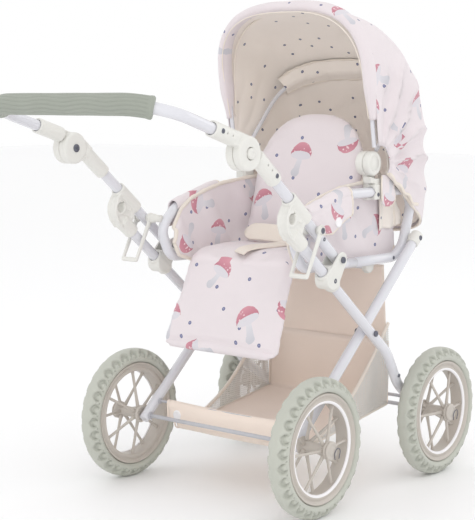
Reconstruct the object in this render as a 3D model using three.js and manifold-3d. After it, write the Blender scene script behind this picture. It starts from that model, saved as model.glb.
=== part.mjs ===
// Doll stroller with a fold-over push handle, a crossed-leg chassis, a hooded seat and a basket.
// Millimetres. +X is the direction of travel (towards the hood), +Y is the left side, +Z is up.
// Places along the side view are [x, z], measured from the rear axle on the ground line.
import * as THREE from "three";
import { mergeVertices } from "three/addons/utils/BufferGeometryUtils.js";
import Module from "manifold-3d";

const wasm = await Module();
wasm.setup();

// ---- driving dimensions ----
const GAP = 0.3; // between touching pieces
const TUBE_R = 7;
const SIDES = 8;
const BORE_R = TUBE_R + 0.9; // leaves the sleeve clear of the tube's facets

const WHEEL_R = 90;
const TYRE_WIDTH = 29;
const RIM_OUTER_R = 71;
const RIM_INNER_R = 59;
const HUB_HALF = 22.3;
const HUB_R = 9;
const FLANGE_R = 12;
const AXLE_R = 3;
const SPOKE_R = 2;
const SPOKES_PER_SIDE = 6;
const WHEELBASE = 292;
const WHEEL_Y = 159.6;
const REAR_AXLE = [0, WHEEL_R];
const FRONT_AXLE = [WHEELBASE, WHEEL_R];

const HANDLE_Y = 143.4; // plane of the handle tubes and the front legs
const REAR_LEG_Y = 129;
const LOOP_Y = 112; // plane of the seat loops

const FOLD_PIVOT = [62, 322.4];
const HANDLE_TILT = 38.9; // degrees above horizontal, towards the rear
const STUB_OFFSET = 29.6; // front leg axis below the handle tube axis
const SEAT_PIVOT_ALONG = 65.7; // along the handle tube, from the fold pivot
const LEG_CROSSING = [146, 216.5];
const REAR_LEG_TOP = [283, 339];
const SEAT_REAR_PIVOT = [278, 334.5];

const KNUCKLE = [-130.5, 462.4];
const KNUCKLE_R = 20.5;
const KNUCKLE_HALF = 11.8;
const KNUCKLE_OFFSET = 12; // tube axes pass this far above the knuckle centre
const UPPER_TILT = 16.5;
const SLEEVE_R = 10;
const SLEEVE_START = 21.5;
const UPPER_SLEEVE_END = 64.6;
const LOWER_SLEEVE_END = 68.6;
const BUTTON_R = 6.8;

const GRIP_X = -278;
const GRIP_CORNER_R = 55;
const GRIP_R = 13;
const GRIP_TURN = 42; // degrees of each corner that the grip covers

const HOOD_PIVOT = [185, 441];
const HOOD_DISC_R = 16.5;
const HOOD_FRONT_ANGLE = 103;
const HOOD_SPLIT_ANGLE = 49;
const HOOD_REAR_ANGLE = -33;
const HOOD_SHOULDER = 115; // radius where the straight side walls end
const HOOD_ROUNDNESS = 2.8;
const CLOTH = 3.4;
const FRONT_CANOPY_HALF = 129.6;
const REAR_CANOPY_HALF = 125.3;
const MID_BOW_ANGLE = 48;

const SEAT_HALF = 96;
const BACKREST_PIVOT = [172, 326];
const BACKREST_LENGTH = 186;
const BACKREST_ANGLE = 74.5;
const LEG_REST_PIVOT = [46, 306];
const LEG_REST_LENGTH = 112;
const LEG_REST_ANGLE = 248;

// ---- materials ----
const finish = (color, roughness, metalness = 0) =>
  new THREE.MeshStandardMaterial({ color, roughness, metalness });
const whitePaint = finish(0xe9e9ee, 0.3, 0.1);
const offWhitePlastic = finish(0xdedcd4, 0.45);
const sageRubber = finish(0xaeb6a6, 0.7);
const sageFoam = finish(0xa9b3a4, 0.8);
const beigePlastic = finish(0xbdb6af, 0.5);
const steel = finish(0x9a9a9e, 0.35, 0.9);
const printedFabric = finish(0xe8dddd, 0.9);
const basketFabric = finish(0xddc9bb, 0.9);
const strapWebbing = finish(0xe9d8c4, 0.9);

// ---- solids ----
const radians = (degrees) => (degrees * Math.PI) / 180;

function toSolid(geometry) {
  const bare = geometry.clone();
  bare.deleteAttribute("normal");
  bare.deleteAttribute("uv");
  const merged = mergeVertices(bare, 1e-4);
  const vertProperties = new Float32Array(merged.attributes.position.array);
  const triVerts = new Uint32Array(merged.index.array);
  return new wasm.Manifold(new wasm.Mesh({ numProp: 3, vertProperties, triVerts }));
}

function toGeometry(solid) {
  const mesh = solid.getMesh();
  const geometry = new THREE.BufferGeometry();
  geometry.setAttribute("position", new THREE.BufferAttribute(new Float32Array(mesh.vertProperties), 3));
  geometry.setIndex(new THREE.BufferAttribute(new Uint32Array(mesh.triVerts), 1));
  geometry.computeVertexNormals();
  return geometry;
}

const joined = (...pieces) => toGeometry(pieces.map(toSolid).reduce((all, next) => all.add(next)));
const cut = (piece, ...tools) =>
  toGeometry(tools.map(toSolid).reduce((rest, tool) => rest.subtract(tool), toSolid(piece)));

// A cylinder across the object, between two y values, at a side-view place.
function crossCylinder([x, z], radius, y0, y1, sides = 16) {
  const geometry = new THREE.CylinderGeometry(radius, radius, Math.abs(y1 - y0), sides);
  geometry.translate(x, (y0 + y1) / 2, z);
  return geometry;
}

// A cylinder along a line in the side view, at one y.
function lineCylinder(start, end, y, radius, sides = SIDES) {
  const from = new THREE.Vector3(start[0], y, start[1]);
  const to = new THREE.Vector3(end[0], y, end[1]);
  const geometry = new THREE.CylinderGeometry(radius, radius, from.distanceTo(to), sides);
  const turn = new THREE.Quaternion().setFromUnitVectors(
    new THREE.Vector3(0, 1, 0),
    to.clone().sub(from).normalize(),
  );
  geometry.applyQuaternion(turn);
  geometry.translate(...from.clone().add(to).multiplyScalar(0.5).toArray());
  return geometry;
}

// A plate in the side view: a closed outline of [x, z] places between two y values.
function plate(outline, y0, y1) {
  const shape = new THREE.Shape(outline.map(([x, z]) => new THREE.Vector2(x, z)));
  const depth = Math.abs(y1 - y0);
  const geometry = new THREE.ExtrudeGeometry(shape, { depth, bevelEnabled: false });
  geometry.rotateX(Math.PI / 2);
  geometry.translate(0, Math.max(y0, y1), 0);
  return geometry;
}

// The outline around two circles in the side view, like a strap pulled round them.
function strapOutline([ax, az], ar, [bx, bz], br, steps = 6) {
  const heading = Math.atan2(bz - az, bx - ax);
  const lean = Math.acos((ar - br) / Math.hypot(bx - ax, bz - az));
  const arc = (cx, cz, r, from, to) =>
    Array.from({ length: steps + 1 }, (_, i) => {
      const a = from + ((to - from) * i) / steps;
      return [cx + r * Math.cos(a), cz + r * Math.sin(a)];
    });
  return [
    ...arc(bx, bz, br, heading - lean, heading + lean),
    ...arc(ax, az, ar, heading + lean, heading + 2 * Math.PI - lean),
  ];
}

// A path that an extrusion follows exactly, one step for each point.
class StepPath extends THREE.Curve {
  constructor(points) {
    super();
    this.points = points;
  }

  getPoint(t) {
    const at = t * (this.points.length - 1);
    const i = Math.min(Math.floor(at), this.points.length - 2);
    return this.points[i].clone().lerp(this.points[i + 1], at - i);
  }

  getPointAt(t) {
    return this.getPoint(t);
  }

  getSpacedPoints() {
    return this.points;
  }

  getTangentAt(t) {
    const last = this.points.length - 1;
    const i = Math.round(t * last);
    const tangent = new THREE.Vector3();
    if (i > 0) tangent.add(this.points[i].clone().sub(this.points[i - 1]).normalize());
    if (i < last) tangent.add(this.points[i + 1].clone().sub(this.points[i]).normalize());
    return tangent.normalize();
  }
}

function tube(points, radius, sides = SIDES) {
  const section = new THREE.Shape();
  for (let i = 0; i < sides; i += 1) {
    const a = (2 * Math.PI * (i + 0.5)) / sides;
    const place = [radius * Math.cos(a), radius * Math.sin(a)];
    if (i === 0) section.moveTo(...place);
    else section.lineTo(...place);
  }
  section.closePath();
  const path = new StepPath(points);
  return new THREE.ExtrudeGeometry(section, { steps: points.length - 1, extrudePath: path });
}

// The points of a path whose corners are rounded; each corner is [x, y, z, radius].
function roundedPath(corners, steps = 5) {
  const at = (c) => new THREE.Vector3(c[0], c[1], c[2]);
  const path = [at(corners[0])];
  for (let i = 1; i < corners.length - 1; i += 1) {
    const here = at(corners[i]);
    const back = at(corners[i - 1]).sub(here);
    const on = at(corners[i + 1]).sub(here);
    const reach = corners[i][3] ?? 20;
    const start = here.clone().addScaledVector(back.normalize(), reach);
    const end = here.clone().addScaledVector(on.normalize(), reach);
    const bend = new THREE.QuadraticBezierCurve3(start, here, end);
    path.push(...bend.getPoints(steps));
  }
  path.push(at(corners[corners.length - 1]));
  return path;
}

// The same piece on the other side of the stroller, its faces turned outwards again.
function mirrored(geometry) {
  const copy = geometry.clone();
  copy.scale(1, -1, 1);
  const count = copy.attributes.position.count;
  const order = copy.index ? Array.from(copy.index.array) : Array.from({ length: count }, (_, i) => i);
  for (let i = 0; i < order.length; i += 3) {
    [order[i + 1], order[i + 2]] = [order[i + 2], order[i + 1]];
  }
  copy.setIndex(order);
  copy.computeVertexNormals();
  return copy;
}

// ---- the assembly ----
const stroller = new THREE.Group();

function add(name, geometry, material, place = [0, 0, 0]) {
  const mesh = new THREE.Mesh(geometry, material);
  mesh.name = name;
  mesh.position.set(...place);
  stroller.add(mesh);
}

function addPair(name, leftGeometry, material) {
  add(`${name}_left`, leftGeometry, material);
  add(`${name}_right`, mirrored(leftGeometry), material);
}

// Side-view place from the fold pivot: along the handle tube, and down from it.
const handleDirection = [-Math.cos(radians(HANDLE_TILT)), Math.sin(radians(HANDLE_TILT))];
const handleDown = [-Math.sin(radians(HANDLE_TILT)), -Math.cos(radians(HANDLE_TILT))];
const onHandle = (along, down = 0) => [
  FOLD_PIVOT[0] + along * handleDirection[0] + down * handleDown[0],
  FOLD_PIVOT[1] + along * handleDirection[1] + down * handleDown[1],
];

// ---- wheels ----
function lathe(profile, segments) {
  const points = profile.map(([r, h]) => new THREE.Vector2(r, h));
  return new THREE.LatheGeometry(points, segments);
}

function tyreGeometry() {
  const half = TYRE_WIDTH / 2;
  const inner = RIM_OUTER_R + GAP;
  const profile = [
    [inner, -half + 4],
    [inner + 6, -half],
    [WHEEL_R - 5, -half + 2],
    [WHEEL_R, -half + 9],
    [WHEEL_R, half - 9],
    [WHEEL_R - 5, half - 2],
    [inner + 6, half],
    [inner, half - 4],
    [inner, -half + 4],
  ];
  return lathe(profile, 28);
}

function wheelGeometry() {
  const rimHalf = 11;
  const rim = lathe(
    [
      [RIM_INNER_R, -rimHalf],
      [RIM_OUTER_R, -rimHalf],
      [RIM_OUTER_R, rimHalf],
      [RIM_INNER_R, rimHalf],
      [RIM_INNER_R, -rimHalf],
    ],
    28,
  );
  const bore = AXLE_R + 0.5;
  const hub = lathe(
    [
      [bore, -HUB_HALF],
      [FLANGE_R, -HUB_HALF],
      [FLANGE_R, -HUB_HALF + 4],
      [HUB_R, -HUB_HALF + 6],
      [HUB_R, HUB_HALF - 6],
      [FLANGE_R, HUB_HALF - 4],
      [FLANGE_R, HUB_HALF],
      [bore, HUB_HALF],
      [bore, -HUB_HALF],
    ],
    12,
  );
  const spokes = [];
  for (let i = 0; i < 2 * SPOKES_PER_SIDE; i += 1) {
    const a = (Math.PI * i) / SPOKES_PER_SIDE;
    const side = i % 2 === 0 ? 1 : -1;
    const from = new THREE.Vector3(8 * Math.cos(a), side * (HUB_HALF - 8), 8 * Math.sin(a));
    const reach = RIM_INNER_R + 4;
    const to = new THREE.Vector3(reach * Math.cos(a), side * 2, reach * Math.sin(a));
    const spoke = new THREE.CylinderGeometry(SPOKE_R, SPOKE_R, from.distanceTo(to), 5);
    const along = to.clone().sub(from).normalize();
    const turn = new THREE.Quaternion().setFromUnitVectors(new THREE.Vector3(0, 1, 0), along);
    spoke.applyQuaternion(turn);
    spoke.translate(...from.add(to).multiplyScalar(0.5).toArray());
    spokes.push(spoke);
  }
  return joined(rim, hub, ...spokes);
}

function axleGeometry() {
  const inner = -HUB_HALF - 1;
  const cap = HUB_HALF + GAP;
  return lathe(
    [
      [0, inner],
      [8, inner],
      [8, inner + 0.7],
      [AXLE_R, inner + 0.7],
      [AXLE_R, cap],
      [FLANGE_R, cap],
      [FLANGE_R, cap + 2],
      [FLANGE_R - 2, cap + 3.5],
      [0, cap + 3.5],
    ],
    12,
  );
}

const wheelBody = wheelGeometry();
const tyreBody = tyreGeometry();
const axleBody = axleGeometry();
for (const [corner, [x, z], side] of [
  ["rear_left", REAR_AXLE, 1],
  ["rear_right", REAR_AXLE, -1],
  ["front_left", FRONT_AXLE, 1],
  ["front_right", FRONT_AXLE, -1],
]) {
  const flip = (geometry) => (side > 0 ? geometry : mirrored(geometry));
  add(`tyre_${corner}`, flip(tyreBody), sageRubber, [x, side * WHEEL_Y, z]);
  add(`wheel_${corner}`, flip(wheelBody), beigePlastic, [x, side * WHEEL_Y, z]);
  add(`axle_${corner}`, flip(axleBody), beigePlastic, [x, side * WHEEL_Y, z]);
}

// ---- chassis: front legs, brackets, crossing rivets ----
const FRONT_LEG_END_Y = 128.3;
const RIVET_R = 2.6;
const HOLE_R = 3;
const STUB_TOP_ALONG = 73;
const BRACKET_HALF = 10.4;
const SLOT_HALF = 7.4;

const THROUGH = 12; // half the length of a tool that cuts right through a tube
const JOG_TOP = [186, 184.5]; // the leg leaves the handle's plane here, and settles at JOG_END
const JOG_END = [226, 135];
const JOG_END_Y = 136;
const BEND_REACH = 14;

const stubTop = onHandle(STUB_TOP_ALONG, STUB_OFFSET);
const frontLegPath = roundedPath([
  [stubTop[0], HANDLE_Y, stubTop[1]],
  [JOG_TOP[0], HANDLE_Y, JOG_TOP[1], BEND_REACH],
  [JOG_END[0], JOG_END_Y, JOG_END[1], BEND_REACH],
  [WHEELBASE, FRONT_LEG_END_Y, WHEEL_R],
]);

addPair(
  "front_leg",
  cut(
    tube(frontLegPath, TUBE_R),
    crossCylinder(LEG_CROSSING, HOLE_R, HANDLE_Y - THROUGH, HANDLE_Y + THROUGH, 12),
  ),
  whitePaint,
);

function bracketGeometry() {
  const y0 = HANDLE_Y - BRACKET_HALF;
  const y1 = HANDLE_Y + BRACKET_HALF;
  const cheeks = plate(
    strapOutline(onHandle(0), 10.5, onHandle(0, STUB_OFFSET), 14, 5),
    y0,
    y1,
  );
  const sleeve = lineCylinder(
    onHandle(15, STUB_OFFSET),
    onHandle(-15, STUB_OFFSET),
    HANDLE_Y,
    BRACKET_HALF,
    14,
  );
  const bore = lineCylinder(
    onHandle(40, STUB_OFFSET),
    onHandle(-40, STUB_OFFSET),
    HANDLE_Y,
    BORE_R,
    SIDES,
  );
  const slot = plate(
    [onHandle(-30, -20), onHandle(30, -20), onHandle(30, 17), onHandle(-30, 17)],
    HANDLE_Y - SLOT_HALF,
    HANDLE_Y + SLOT_HALF,
  );
  const pinHole = crossCylinder(FOLD_PIVOT, HOLE_R, y0 - 1, y1 + 1, 12);
  return cut(joined(cheeks, sleeve), bore, slot, pinHole);
}
addPair("pivot_bracket", bracketGeometry(), offWhitePlastic);

// A rivet across the object: a shank with a low head at each end.
function rivetGeometry(place, y0, y1, headRadius) {
  const head = 1.6;
  return joined(
    crossCylinder(place, RIVET_R, y0 - head / 2, y1 + head / 2, 10),
    crossCylinder(place, headRadius, y0 - head, y0, 12),
    crossCylinder(place, headRadius, y1, y1 + head, 12),
  );
}
addPair(
  "fold_pin",
  rivetGeometry(FOLD_PIVOT, HANDLE_Y - BRACKET_HALF - GAP, HANDLE_Y + BRACKET_HALF + GAP, 4),
  steel,
);
addPair(
  "crossing_rivet",
  rivetGeometry(LEG_CROSSING, REAR_LEG_Y - TUBE_R - GAP, HANDLE_Y + TUBE_R + GAP, 4.2),
  steel,
);

// ---- rear legs, their cross rods ----
const LOOP_CLEARANCE = 0.6; // the rear seat pivot is left open by this much
const SPACER_R = 5.5;
const AXLE_ROD_R = 2.8;
const BASKET_ROD_R = 2.4;
const BASKET_WIRE_R = 1.7;
const BASKET_ROD = [268, 108];
const BASKET_WIRE = [20, 107.6];
const rearLegSlope = Math.atan2(REAR_LEG_TOP[1] - REAR_AXLE[1], REAR_LEG_TOP[0] - REAR_AXLE[0]);
const BELOW_AXLE = 8;
const rearLegFoot = [
  REAR_AXLE[0] - BELOW_AXLE * Math.cos(rearLegSlope),
  REAR_AXLE[1] - BELOW_AXLE * Math.sin(rearLegSlope),
];

function rearLegGeometry() {
  const leg = lineCylinder(rearLegFoot, REAR_LEG_TOP, REAR_LEG_Y, TUBE_R);
  const spacer = crossCylinder(
    SEAT_REAR_PIVOT,
    SPACER_R,
    LOOP_Y + TUBE_R + LOOP_CLEARANCE,
    REAR_LEG_Y - 4,
    12,
  );
  const hole = crossCylinder(LEG_CROSSING, HOLE_R, REAR_LEG_Y - THROUGH, REAR_LEG_Y + THROUGH, 12);
  return cut(joined(leg, spacer), hole);
}
addPair("rear_leg", rearLegGeometry(), whitePaint);

const rodReach = REAR_LEG_Y - TUBE_R - GAP;
add("rear_axle_rod", crossCylinder(REAR_AXLE, AXLE_ROD_R, -rodReach, rodReach, 10), whitePaint);
add("basket_wire", crossCylinder(BASKET_WIRE, BASKET_WIRE_R, -rodReach, rodReach, 8), whitePaint);
const frontRodReach = FRONT_LEG_END_Y - TUBE_R - GAP;
add(
  "front_axle_rod",
  crossCylinder(FRONT_AXLE, AXLE_ROD_R, -frontRodReach, frontRodReach, 10),
  whitePaint,
);
add(
  "basket_rod",
  crossCylinder(BASKET_ROD, BASKET_ROD_R, -frontRodReach, frontRodReach, 10),
  whitePaint,
);

// ---- handle frame ----
const LOWER_TUBE_TOP = 207;
const lowerTube = cut(
  lineCylinder(onHandle(-8), onHandle(LOWER_TUBE_TOP), HANDLE_Y, TUBE_R),
  crossCylinder(FOLD_PIVOT, HOLE_R, HANDLE_Y - THROUGH, HANDLE_Y + THROUGH, 12),
);
addPair("handle_lower_tube", lowerTube, whitePaint);

// One half of the folding knuckle: a disc, a neck and the sleeve that holds a tube.
function knuckleHalf(tilt, sleeveEnd, yDisc, withButtonHole) {
  const out = [Math.cos(radians(tilt)), Math.sin(radians(tilt))];
  const lift = tilt > 90 ? [out[1], -out[0]] : [-out[1], out[0]];
  const at = (along, up) => [
    KNUCKLE[0] + along * out[0] + up * lift[0],
    KNUCKLE[1] + along * out[1] + up * lift[1],
  ];
  const [y0, y1] = yDisc;
  const inset = 0.8;
  const disc = crossCylinder(KNUCKLE, KNUCKLE_R, y0, y1, 24);
  const neckY = y1 > HANDLE_Y + 1 ? [y0, HANDLE_Y + SLEEVE_R - inset] : [HANDLE_Y - SLEEVE_R + inset, y1];
  const neck = plate([at(-4, 3), at(26, 3.6), at(26, 20.4), at(-4, 20.4)], neckY[0], neckY[1]);
  const sleeve = lineCylinder(
    at(SLEEVE_START, KNUCKLE_OFFSET),
    at(sleeveEnd, KNUCKLE_OFFSET),
    HANDLE_Y,
    SLEEVE_R,
    14,
  );
  const bore = lineCylinder(
    at(28, KNUCKLE_OFFSET),
    at(sleeveEnd + 5, KNUCKLE_OFFSET),
    HANDLE_Y,
    BORE_R,
    SIDES,
  );
  const tools = [bore];
  if (withButtonHole) tools.push(crossCylinder(KNUCKLE, BUTTON_R + 0.6, y0 - 1, y1 + 1, 16));
  return cut(joined(disc, neck, sleeve), ...tools);
}
addPair(
  "knuckle_upper",
  knuckleHalf(180 - UPPER_TILT, UPPER_SLEEVE_END, [HANDLE_Y + GAP, HANDLE_Y + KNUCKLE_HALF], true),
  offWhitePlastic,
);
addPair(
  "knuckle_lower",
  knuckleHalf(-HANDLE_TILT, LOWER_SLEEVE_END, [HANDLE_Y - KNUCKLE_HALF, HANDLE_Y - GAP], false),
  offWhitePlastic,
);

const BUTTON_BACK = HANDLE_Y + 4;
const BUTTON_FACE = HANDLE_Y + KNUCKLE_HALF + 4;
const buttonBody = lathe(
  [
    [0, BUTTON_BACK],
    [BUTTON_R, BUTTON_BACK],
    [BUTTON_R, BUTTON_FACE - 2.5],
    [BUTTON_R - 2, BUTTON_FACE],
    [3, BUTTON_FACE + 0.4],
    [2, BUTTON_FACE - 0.6],
    [0, BUTTON_FACE - 0.8],
  ],
  16,
);
buttonBody.translate(KNUCKLE[0], 0, KNUCKLE[1]);
addPair("angle_button", buttonBody, offWhitePlastic);

// ---- upper handle: bent tube and foam grip ----
const upperOut = [-Math.cos(radians(UPPER_TILT)), Math.sin(radians(UPPER_TILT))];
const upperLift = [Math.sin(radians(UPPER_TILT)), Math.cos(radians(UPPER_TILT))];
const upperPlace = (along, y) =>
  new THREE.Vector3(
    KNUCKLE[0] + KNUCKLE_OFFSET * upperLift[0] + along * upperOut[0],
    y,
    KNUCKLE[1] + KNUCKLE_OFFSET * upperLift[1] + along * upperOut[1],
  );
const gripAlong = (KNUCKLE[0] + KNUCKLE_OFFSET * upperLift[0] - GRIP_X) / Math.cos(radians(UPPER_TILT));

function cornerPoints(side, from, to, steps) {
  const points = [];
  for (let i = 0; i <= steps; i += 1) {
    const a = radians(from + ((to - from) * i) / steps);
    points.push(
      upperPlace(
        gripAlong - GRIP_CORNER_R + GRIP_CORNER_R * Math.cos(a),
        side * (HANDLE_Y - GRIP_CORNER_R + GRIP_CORNER_R * Math.sin(a)),
      ),
    );
  }
  return points;
}

const handlePath = [
  upperPlace(30, -HANDLE_Y),
  ...cornerPoints(-1, 90, 0, 7),
  ...cornerPoints(1, 0, 90, 7),
  upperPlace(30, HANDLE_Y),
];
add("handle_top_tube", tube(handlePath, TUBE_R), whitePaint);

const gripPath = [...cornerPoints(-1, GRIP_TURN, 0, 4), ...cornerPoints(1, 0, GRIP_TURN, 4)];
const boreTurn = GRIP_TURN + 6;
const gripBore = [...cornerPoints(-1, boreTurn, 0, 8), ...cornerPoints(1, 0, boreTurn, 8)];
add("handle_grip", cut(tube(gripPath, GRIP_R, 12), tube(gripBore, BORE_R, SIDES)), sageFoam);

// ---- sliding latches and stirrup locks ----
const LATCH_TOP = 133.4;
const LATCH_BOTTOM = 88;
const LATCH_MOUTH = 73.6;
const LATCH_HALF = 8.5;
const FINGER_HOLE = [118.5, 20.5];
const FINGER_R = 6.4;

function latchGeometry() {
  const outline = [
    [LATCH_BOTTOM + 2, 0],
    [129, 0],
    [129, 14],
    [127, 24],
    [121, 32],
    [111, 38],
    [98, 39.6],
    [86, 38.5],
    [86, 24],
    [LATCH_BOTTOM + 2, 12],
  ].map(([along, down]) => onHandle(along, down));
  const body = plate(outline, HANDLE_Y - LATCH_HALF, HANDLE_Y + LATCH_HALF);
  const sleeve = lineCylinder(onHandle(LATCH_BOTTOM), onHandle(LATCH_TOP), HANDLE_Y, SLEEVE_R, 14);
  const cup = lineCylinder(
    onHandle(LATCH_MOUTH, STUB_OFFSET),
    onHandle(100, STUB_OFFSET),
    HANDLE_Y,
    SLEEVE_R,
    14,
  );
  const bore = lineCylinder(onHandle(60), onHandle(150), HANDLE_Y, BORE_R, SIDES);
  const finger = crossCylinder(onHandle(...FINGER_HOLE), FINGER_R, HANDLE_Y - 20, HANDLE_Y + 20, 16);
  return cut(joined(body, sleeve, cup), bore, finger);
}
addPair("slide_latch", latchGeometry(), offWhitePlastic);

const STIRRUP_BAR = [53.2, 61.4];
const STIRRUP_INNER = 10.8;
const STIRRUP_OUTER = 14.2;

function stirrupGeometry() {
  const pivot = onHandle(SEAT_PIVOT_ALONG);
  const bar = onHandle(...STIRRUP_BAR);
  const outline = strapOutline(pivot, 7.4, bar, 3.2, 5);
  const arms = [-1, 1].map((side) => {
    const y0 = HANDLE_Y + side * STIRRUP_INNER;
    const y1 = HANDLE_Y + side * STIRRUP_OUTER;
    return plate(outline, Math.min(y0, y1), Math.max(y0, y1));
  });
  const cross = crossCylinder(bar, 3.2, HANDLE_Y - STIRRUP_INNER - 1, HANDLE_Y + STIRRUP_INNER + 1, 10);
  const eye = crossCylinder(pivot, 5.4, HANDLE_Y - 20, HANDLE_Y + 20, 14);
  return cut(joined(...arms, cross), eye);
}
addPair("stirrup_lock", stirrupGeometry(), offWhitePlastic);

// ---- seat frame ----
const RAIL_Z = 401.5;
const RUN_Z = 308.5;
const CLAMP_X = 194;

function loopGeometry() {
  const at = (x, z, radius) => [x, LOOP_Y, z, radius];
  const rearHalf = roundedPath(
    [
      at(150, RUN_Z),
      at(252, RUN_Z, 14),
      at(272, 326, 9),
      at(290, 380, 10),
      at(278, RAIL_Z, 10),
      at(150, RAIL_Z),
    ],
    3,
  );
  const frontHalf = roundedPath(
    [
      at(155, RAIL_Z),
      at(120, RAIL_Z, 14),
      at(44, 381, 16),
      at(10, 350, 18),
      at(30, RUN_Z + 2, 14),
      at(155, RUN_Z),
    ],
    3,
  );
  const pivot = crossCylinder(
    onHandle(SEAT_PIVOT_ALONG),
    5,
    LOOP_Y,
    HANDLE_Y - TUBE_R - GAP,
    14,
  );
  return joined(tube(rearHalf, TUBE_R), tube(frontHalf, TUBE_R), pivot);
}
addPair("seat_loop", loopGeometry(), whitePaint);

const seatBarReach = LOOP_Y - TUBE_R - GAP;
const SEAT_BAR = [196, 300];
const SEAT_BAR_R = 5;
add("seat_crossbar", crossCylinder(SEAT_BAR, SEAT_BAR_R, -seatBarReach, seatBarReach, 12), whitePaint);

function hoodClampGeometry() {
  const block = plate(
    [
      [CLAMP_X - 10, 391],
      [CLAMP_X + 10, 391],
      [CLAMP_X + 10, 413],
      [CLAMP_X + 5, 430],
      [CLAMP_X - 12, 430],
      [CLAMP_X - 10, 413],
    ],
    101,
    109.5,
  );
  const jaw = plate(
    [
      [CLAMP_X - 8, 391.5],
      [CLAMP_X + 8, 391.5],
      [CLAMP_X + 8, 412],
      [CLAMP_X - 8, 412],
    ],
    102,
    120.4,
  );
  const disc = crossCylinder(HOOD_PIVOT, HOOD_DISC_R, 98, 109.5, 20);
  const bore = tube(
    [new THREE.Vector3(160, LOOP_Y, RAIL_Z), new THREE.Vector3(230, LOOP_Y, RAIL_Z)],
    BORE_R,
  );
  return cut(joined(block, jaw, disc), bore);
}
addPair("hood_clamp", hoodClampGeometry(), offWhitePlastic);

// ---- hood ----
const aroundHood = (angle, radius) => [
  HOOD_PIVOT[0] + radius * Math.cos(radians(angle)),
  HOOD_PIVOT[1] + radius * Math.sin(radians(angle)),
];

function bowPoints(angle, half, top, shoulder, steps = 12) {
  const points = [];
  for (let i = 0; i <= steps; i += 1) {
    const a = (Math.PI * i) / steps;
    const y = -half * Math.sign(Math.cos(a)) * Math.abs(Math.cos(a)) ** (2 / HOOD_ROUNDNESS);
    const radius = shoulder + (top - shoulder) * Math.sin(a) ** (2 / HOOD_ROUNDNESS);
    const [x, z] = aroundHood(angle, radius);
    points.push(new THREE.Vector3(x, y, z));
  }
  return points;
}

// A bow from one clamp over the hood to the other: straight sides and a rounded top.
function bowPath(angle, half, top, shoulder, foot) {
  const [x, z] = aroundHood(angle, foot);
  return [
    new THREE.Vector3(x, -half, z),
    ...bowPoints(angle, half, top, shoulder),
    new THREE.Vector3(x, half, z),
  ];
}

const BOW_R = 3;
const BOW_Y = 115.5;
const BOW_FOOT = HOOD_DISC_R + 0.5;
add(
  "hood_front_bow",
  tube(bowPath(HOOD_FRONT_ANGLE - 3, 121, 212, HOOD_SHOULDER, BOW_FOOT + 5), BOW_R, 6),
  whitePaint,
);
add(
  "hood_middle_bow",
  tube(bowPath(MID_BOW_ANGLE, 111.5, 172, 92, BOW_FOOT + 5), BOW_R, 6),
  whitePaint,
);
addPair("hood_disc", crossCylinder(HOOD_PIVOT, HOOD_DISC_R, 110, BOW_Y + 5, 20), offWhitePlastic);

// Height of the hood's crown above its pivot, all the way round.
const crownStops = [
  [103, 222],
  [75, 208],
  [60, 198],
  [49, 191],
  [48.9, 186.5],
  [34, 186.3],
  [17, 176],
  [5, 169],
  [-8, 167],
  [-20, 176],
  [-33, 196],
];

function crownRadius(angle) {
  const i = Math.max(1, crownStops.findIndex(([stop]) => stop <= angle));
  const [a0, r0] = crownStops[i - 1];
  const [a1, r1] = crownStops[i];
  return r0 + ((r1 - r0) * (angle - a0)) / (a1 - a0);
}

// A fan-shaped shell around the hood pivot, from one angle to another.
function canopyGeometry(angles, half, foot) {
  const arcSteps = 12;
  const section = (angle, inset) => {
    const top = crownRadius(angle) - inset;
    const [x, z] = aroundHood(angle, foot);
    const y = half - inset;
    return [
      new THREE.Vector3(x, -y, z),
      ...bowPoints(angle, y, top, HOOD_SHOULDER, arcSteps),
      new THREE.Vector3(x, y, z),
    ];
  };
  const width = arcSteps + 3;
  const positions = [];
  for (const inset of [0, CLOTH]) {
    for (const angle of angles) {
      positions.push(...section(angle, inset).flatMap((p) => p.toArray()));
    }
  }
  const rows = angles.length;
  const id = (layer, row, column) => (layer * rows + row) * width + column;
  const index = [];
  const quad = (a, b, c, d) => index.push(a, c, b, a, d, c);
  for (let row = 0; row < rows - 1; row += 1) {
    for (let column = 0; column < width - 1; column += 1) {
      quad(id(0, row, column), id(0, row, column + 1), id(0, row + 1, column + 1), id(0, row + 1, column));
      quad(id(1, row, column), id(1, row + 1, column), id(1, row + 1, column + 1), id(1, row, column + 1));
    }
    const last = width - 1;
    quad(id(0, row, 0), id(0, row + 1, 0), id(1, row + 1, 0), id(1, row, 0));
    quad(id(0, row, last), id(1, row, last), id(1, row + 1, last), id(0, row + 1, last));
  }
  for (let column = 0; column < width - 1; column += 1) {
    const end = rows - 1;
    quad(id(0, 0, column), id(1, 0, column), id(1, 0, column + 1), id(0, 0, column + 1));
    quad(id(0, end, column), id(0, end, column + 1), id(1, end, column + 1), id(1, end, column));
  }
  const geometry = new THREE.BufferGeometry();
  geometry.setAttribute("position", new THREE.Float32BufferAttribute(positions, 3));
  geometry.setIndex(index);
  geometry.computeVertexNormals();
  return geometry;
}

const spread = (from, to, steps) =>
  Array.from({ length: steps + 1 }, (_, i) => from + ((to - from) * i) / steps);
const CANOPY_FOOT = 22;
add(
  "canopy_front",
  canopyGeometry(spread(HOOD_FRONT_ANGLE, HOOD_SPLIT_ANGLE, 6), FRONT_CANOPY_HALF, CANOPY_FOOT),
  printedFabric,
);
add(
  "canopy_rear",
  canopyGeometry(spread(HOOD_SPLIT_ANGLE - 0.6, HOOD_REAR_ANGLE, 9), REAR_CANOPY_HALF, CANOPY_FOOT),
  printedFabric,
);

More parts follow.
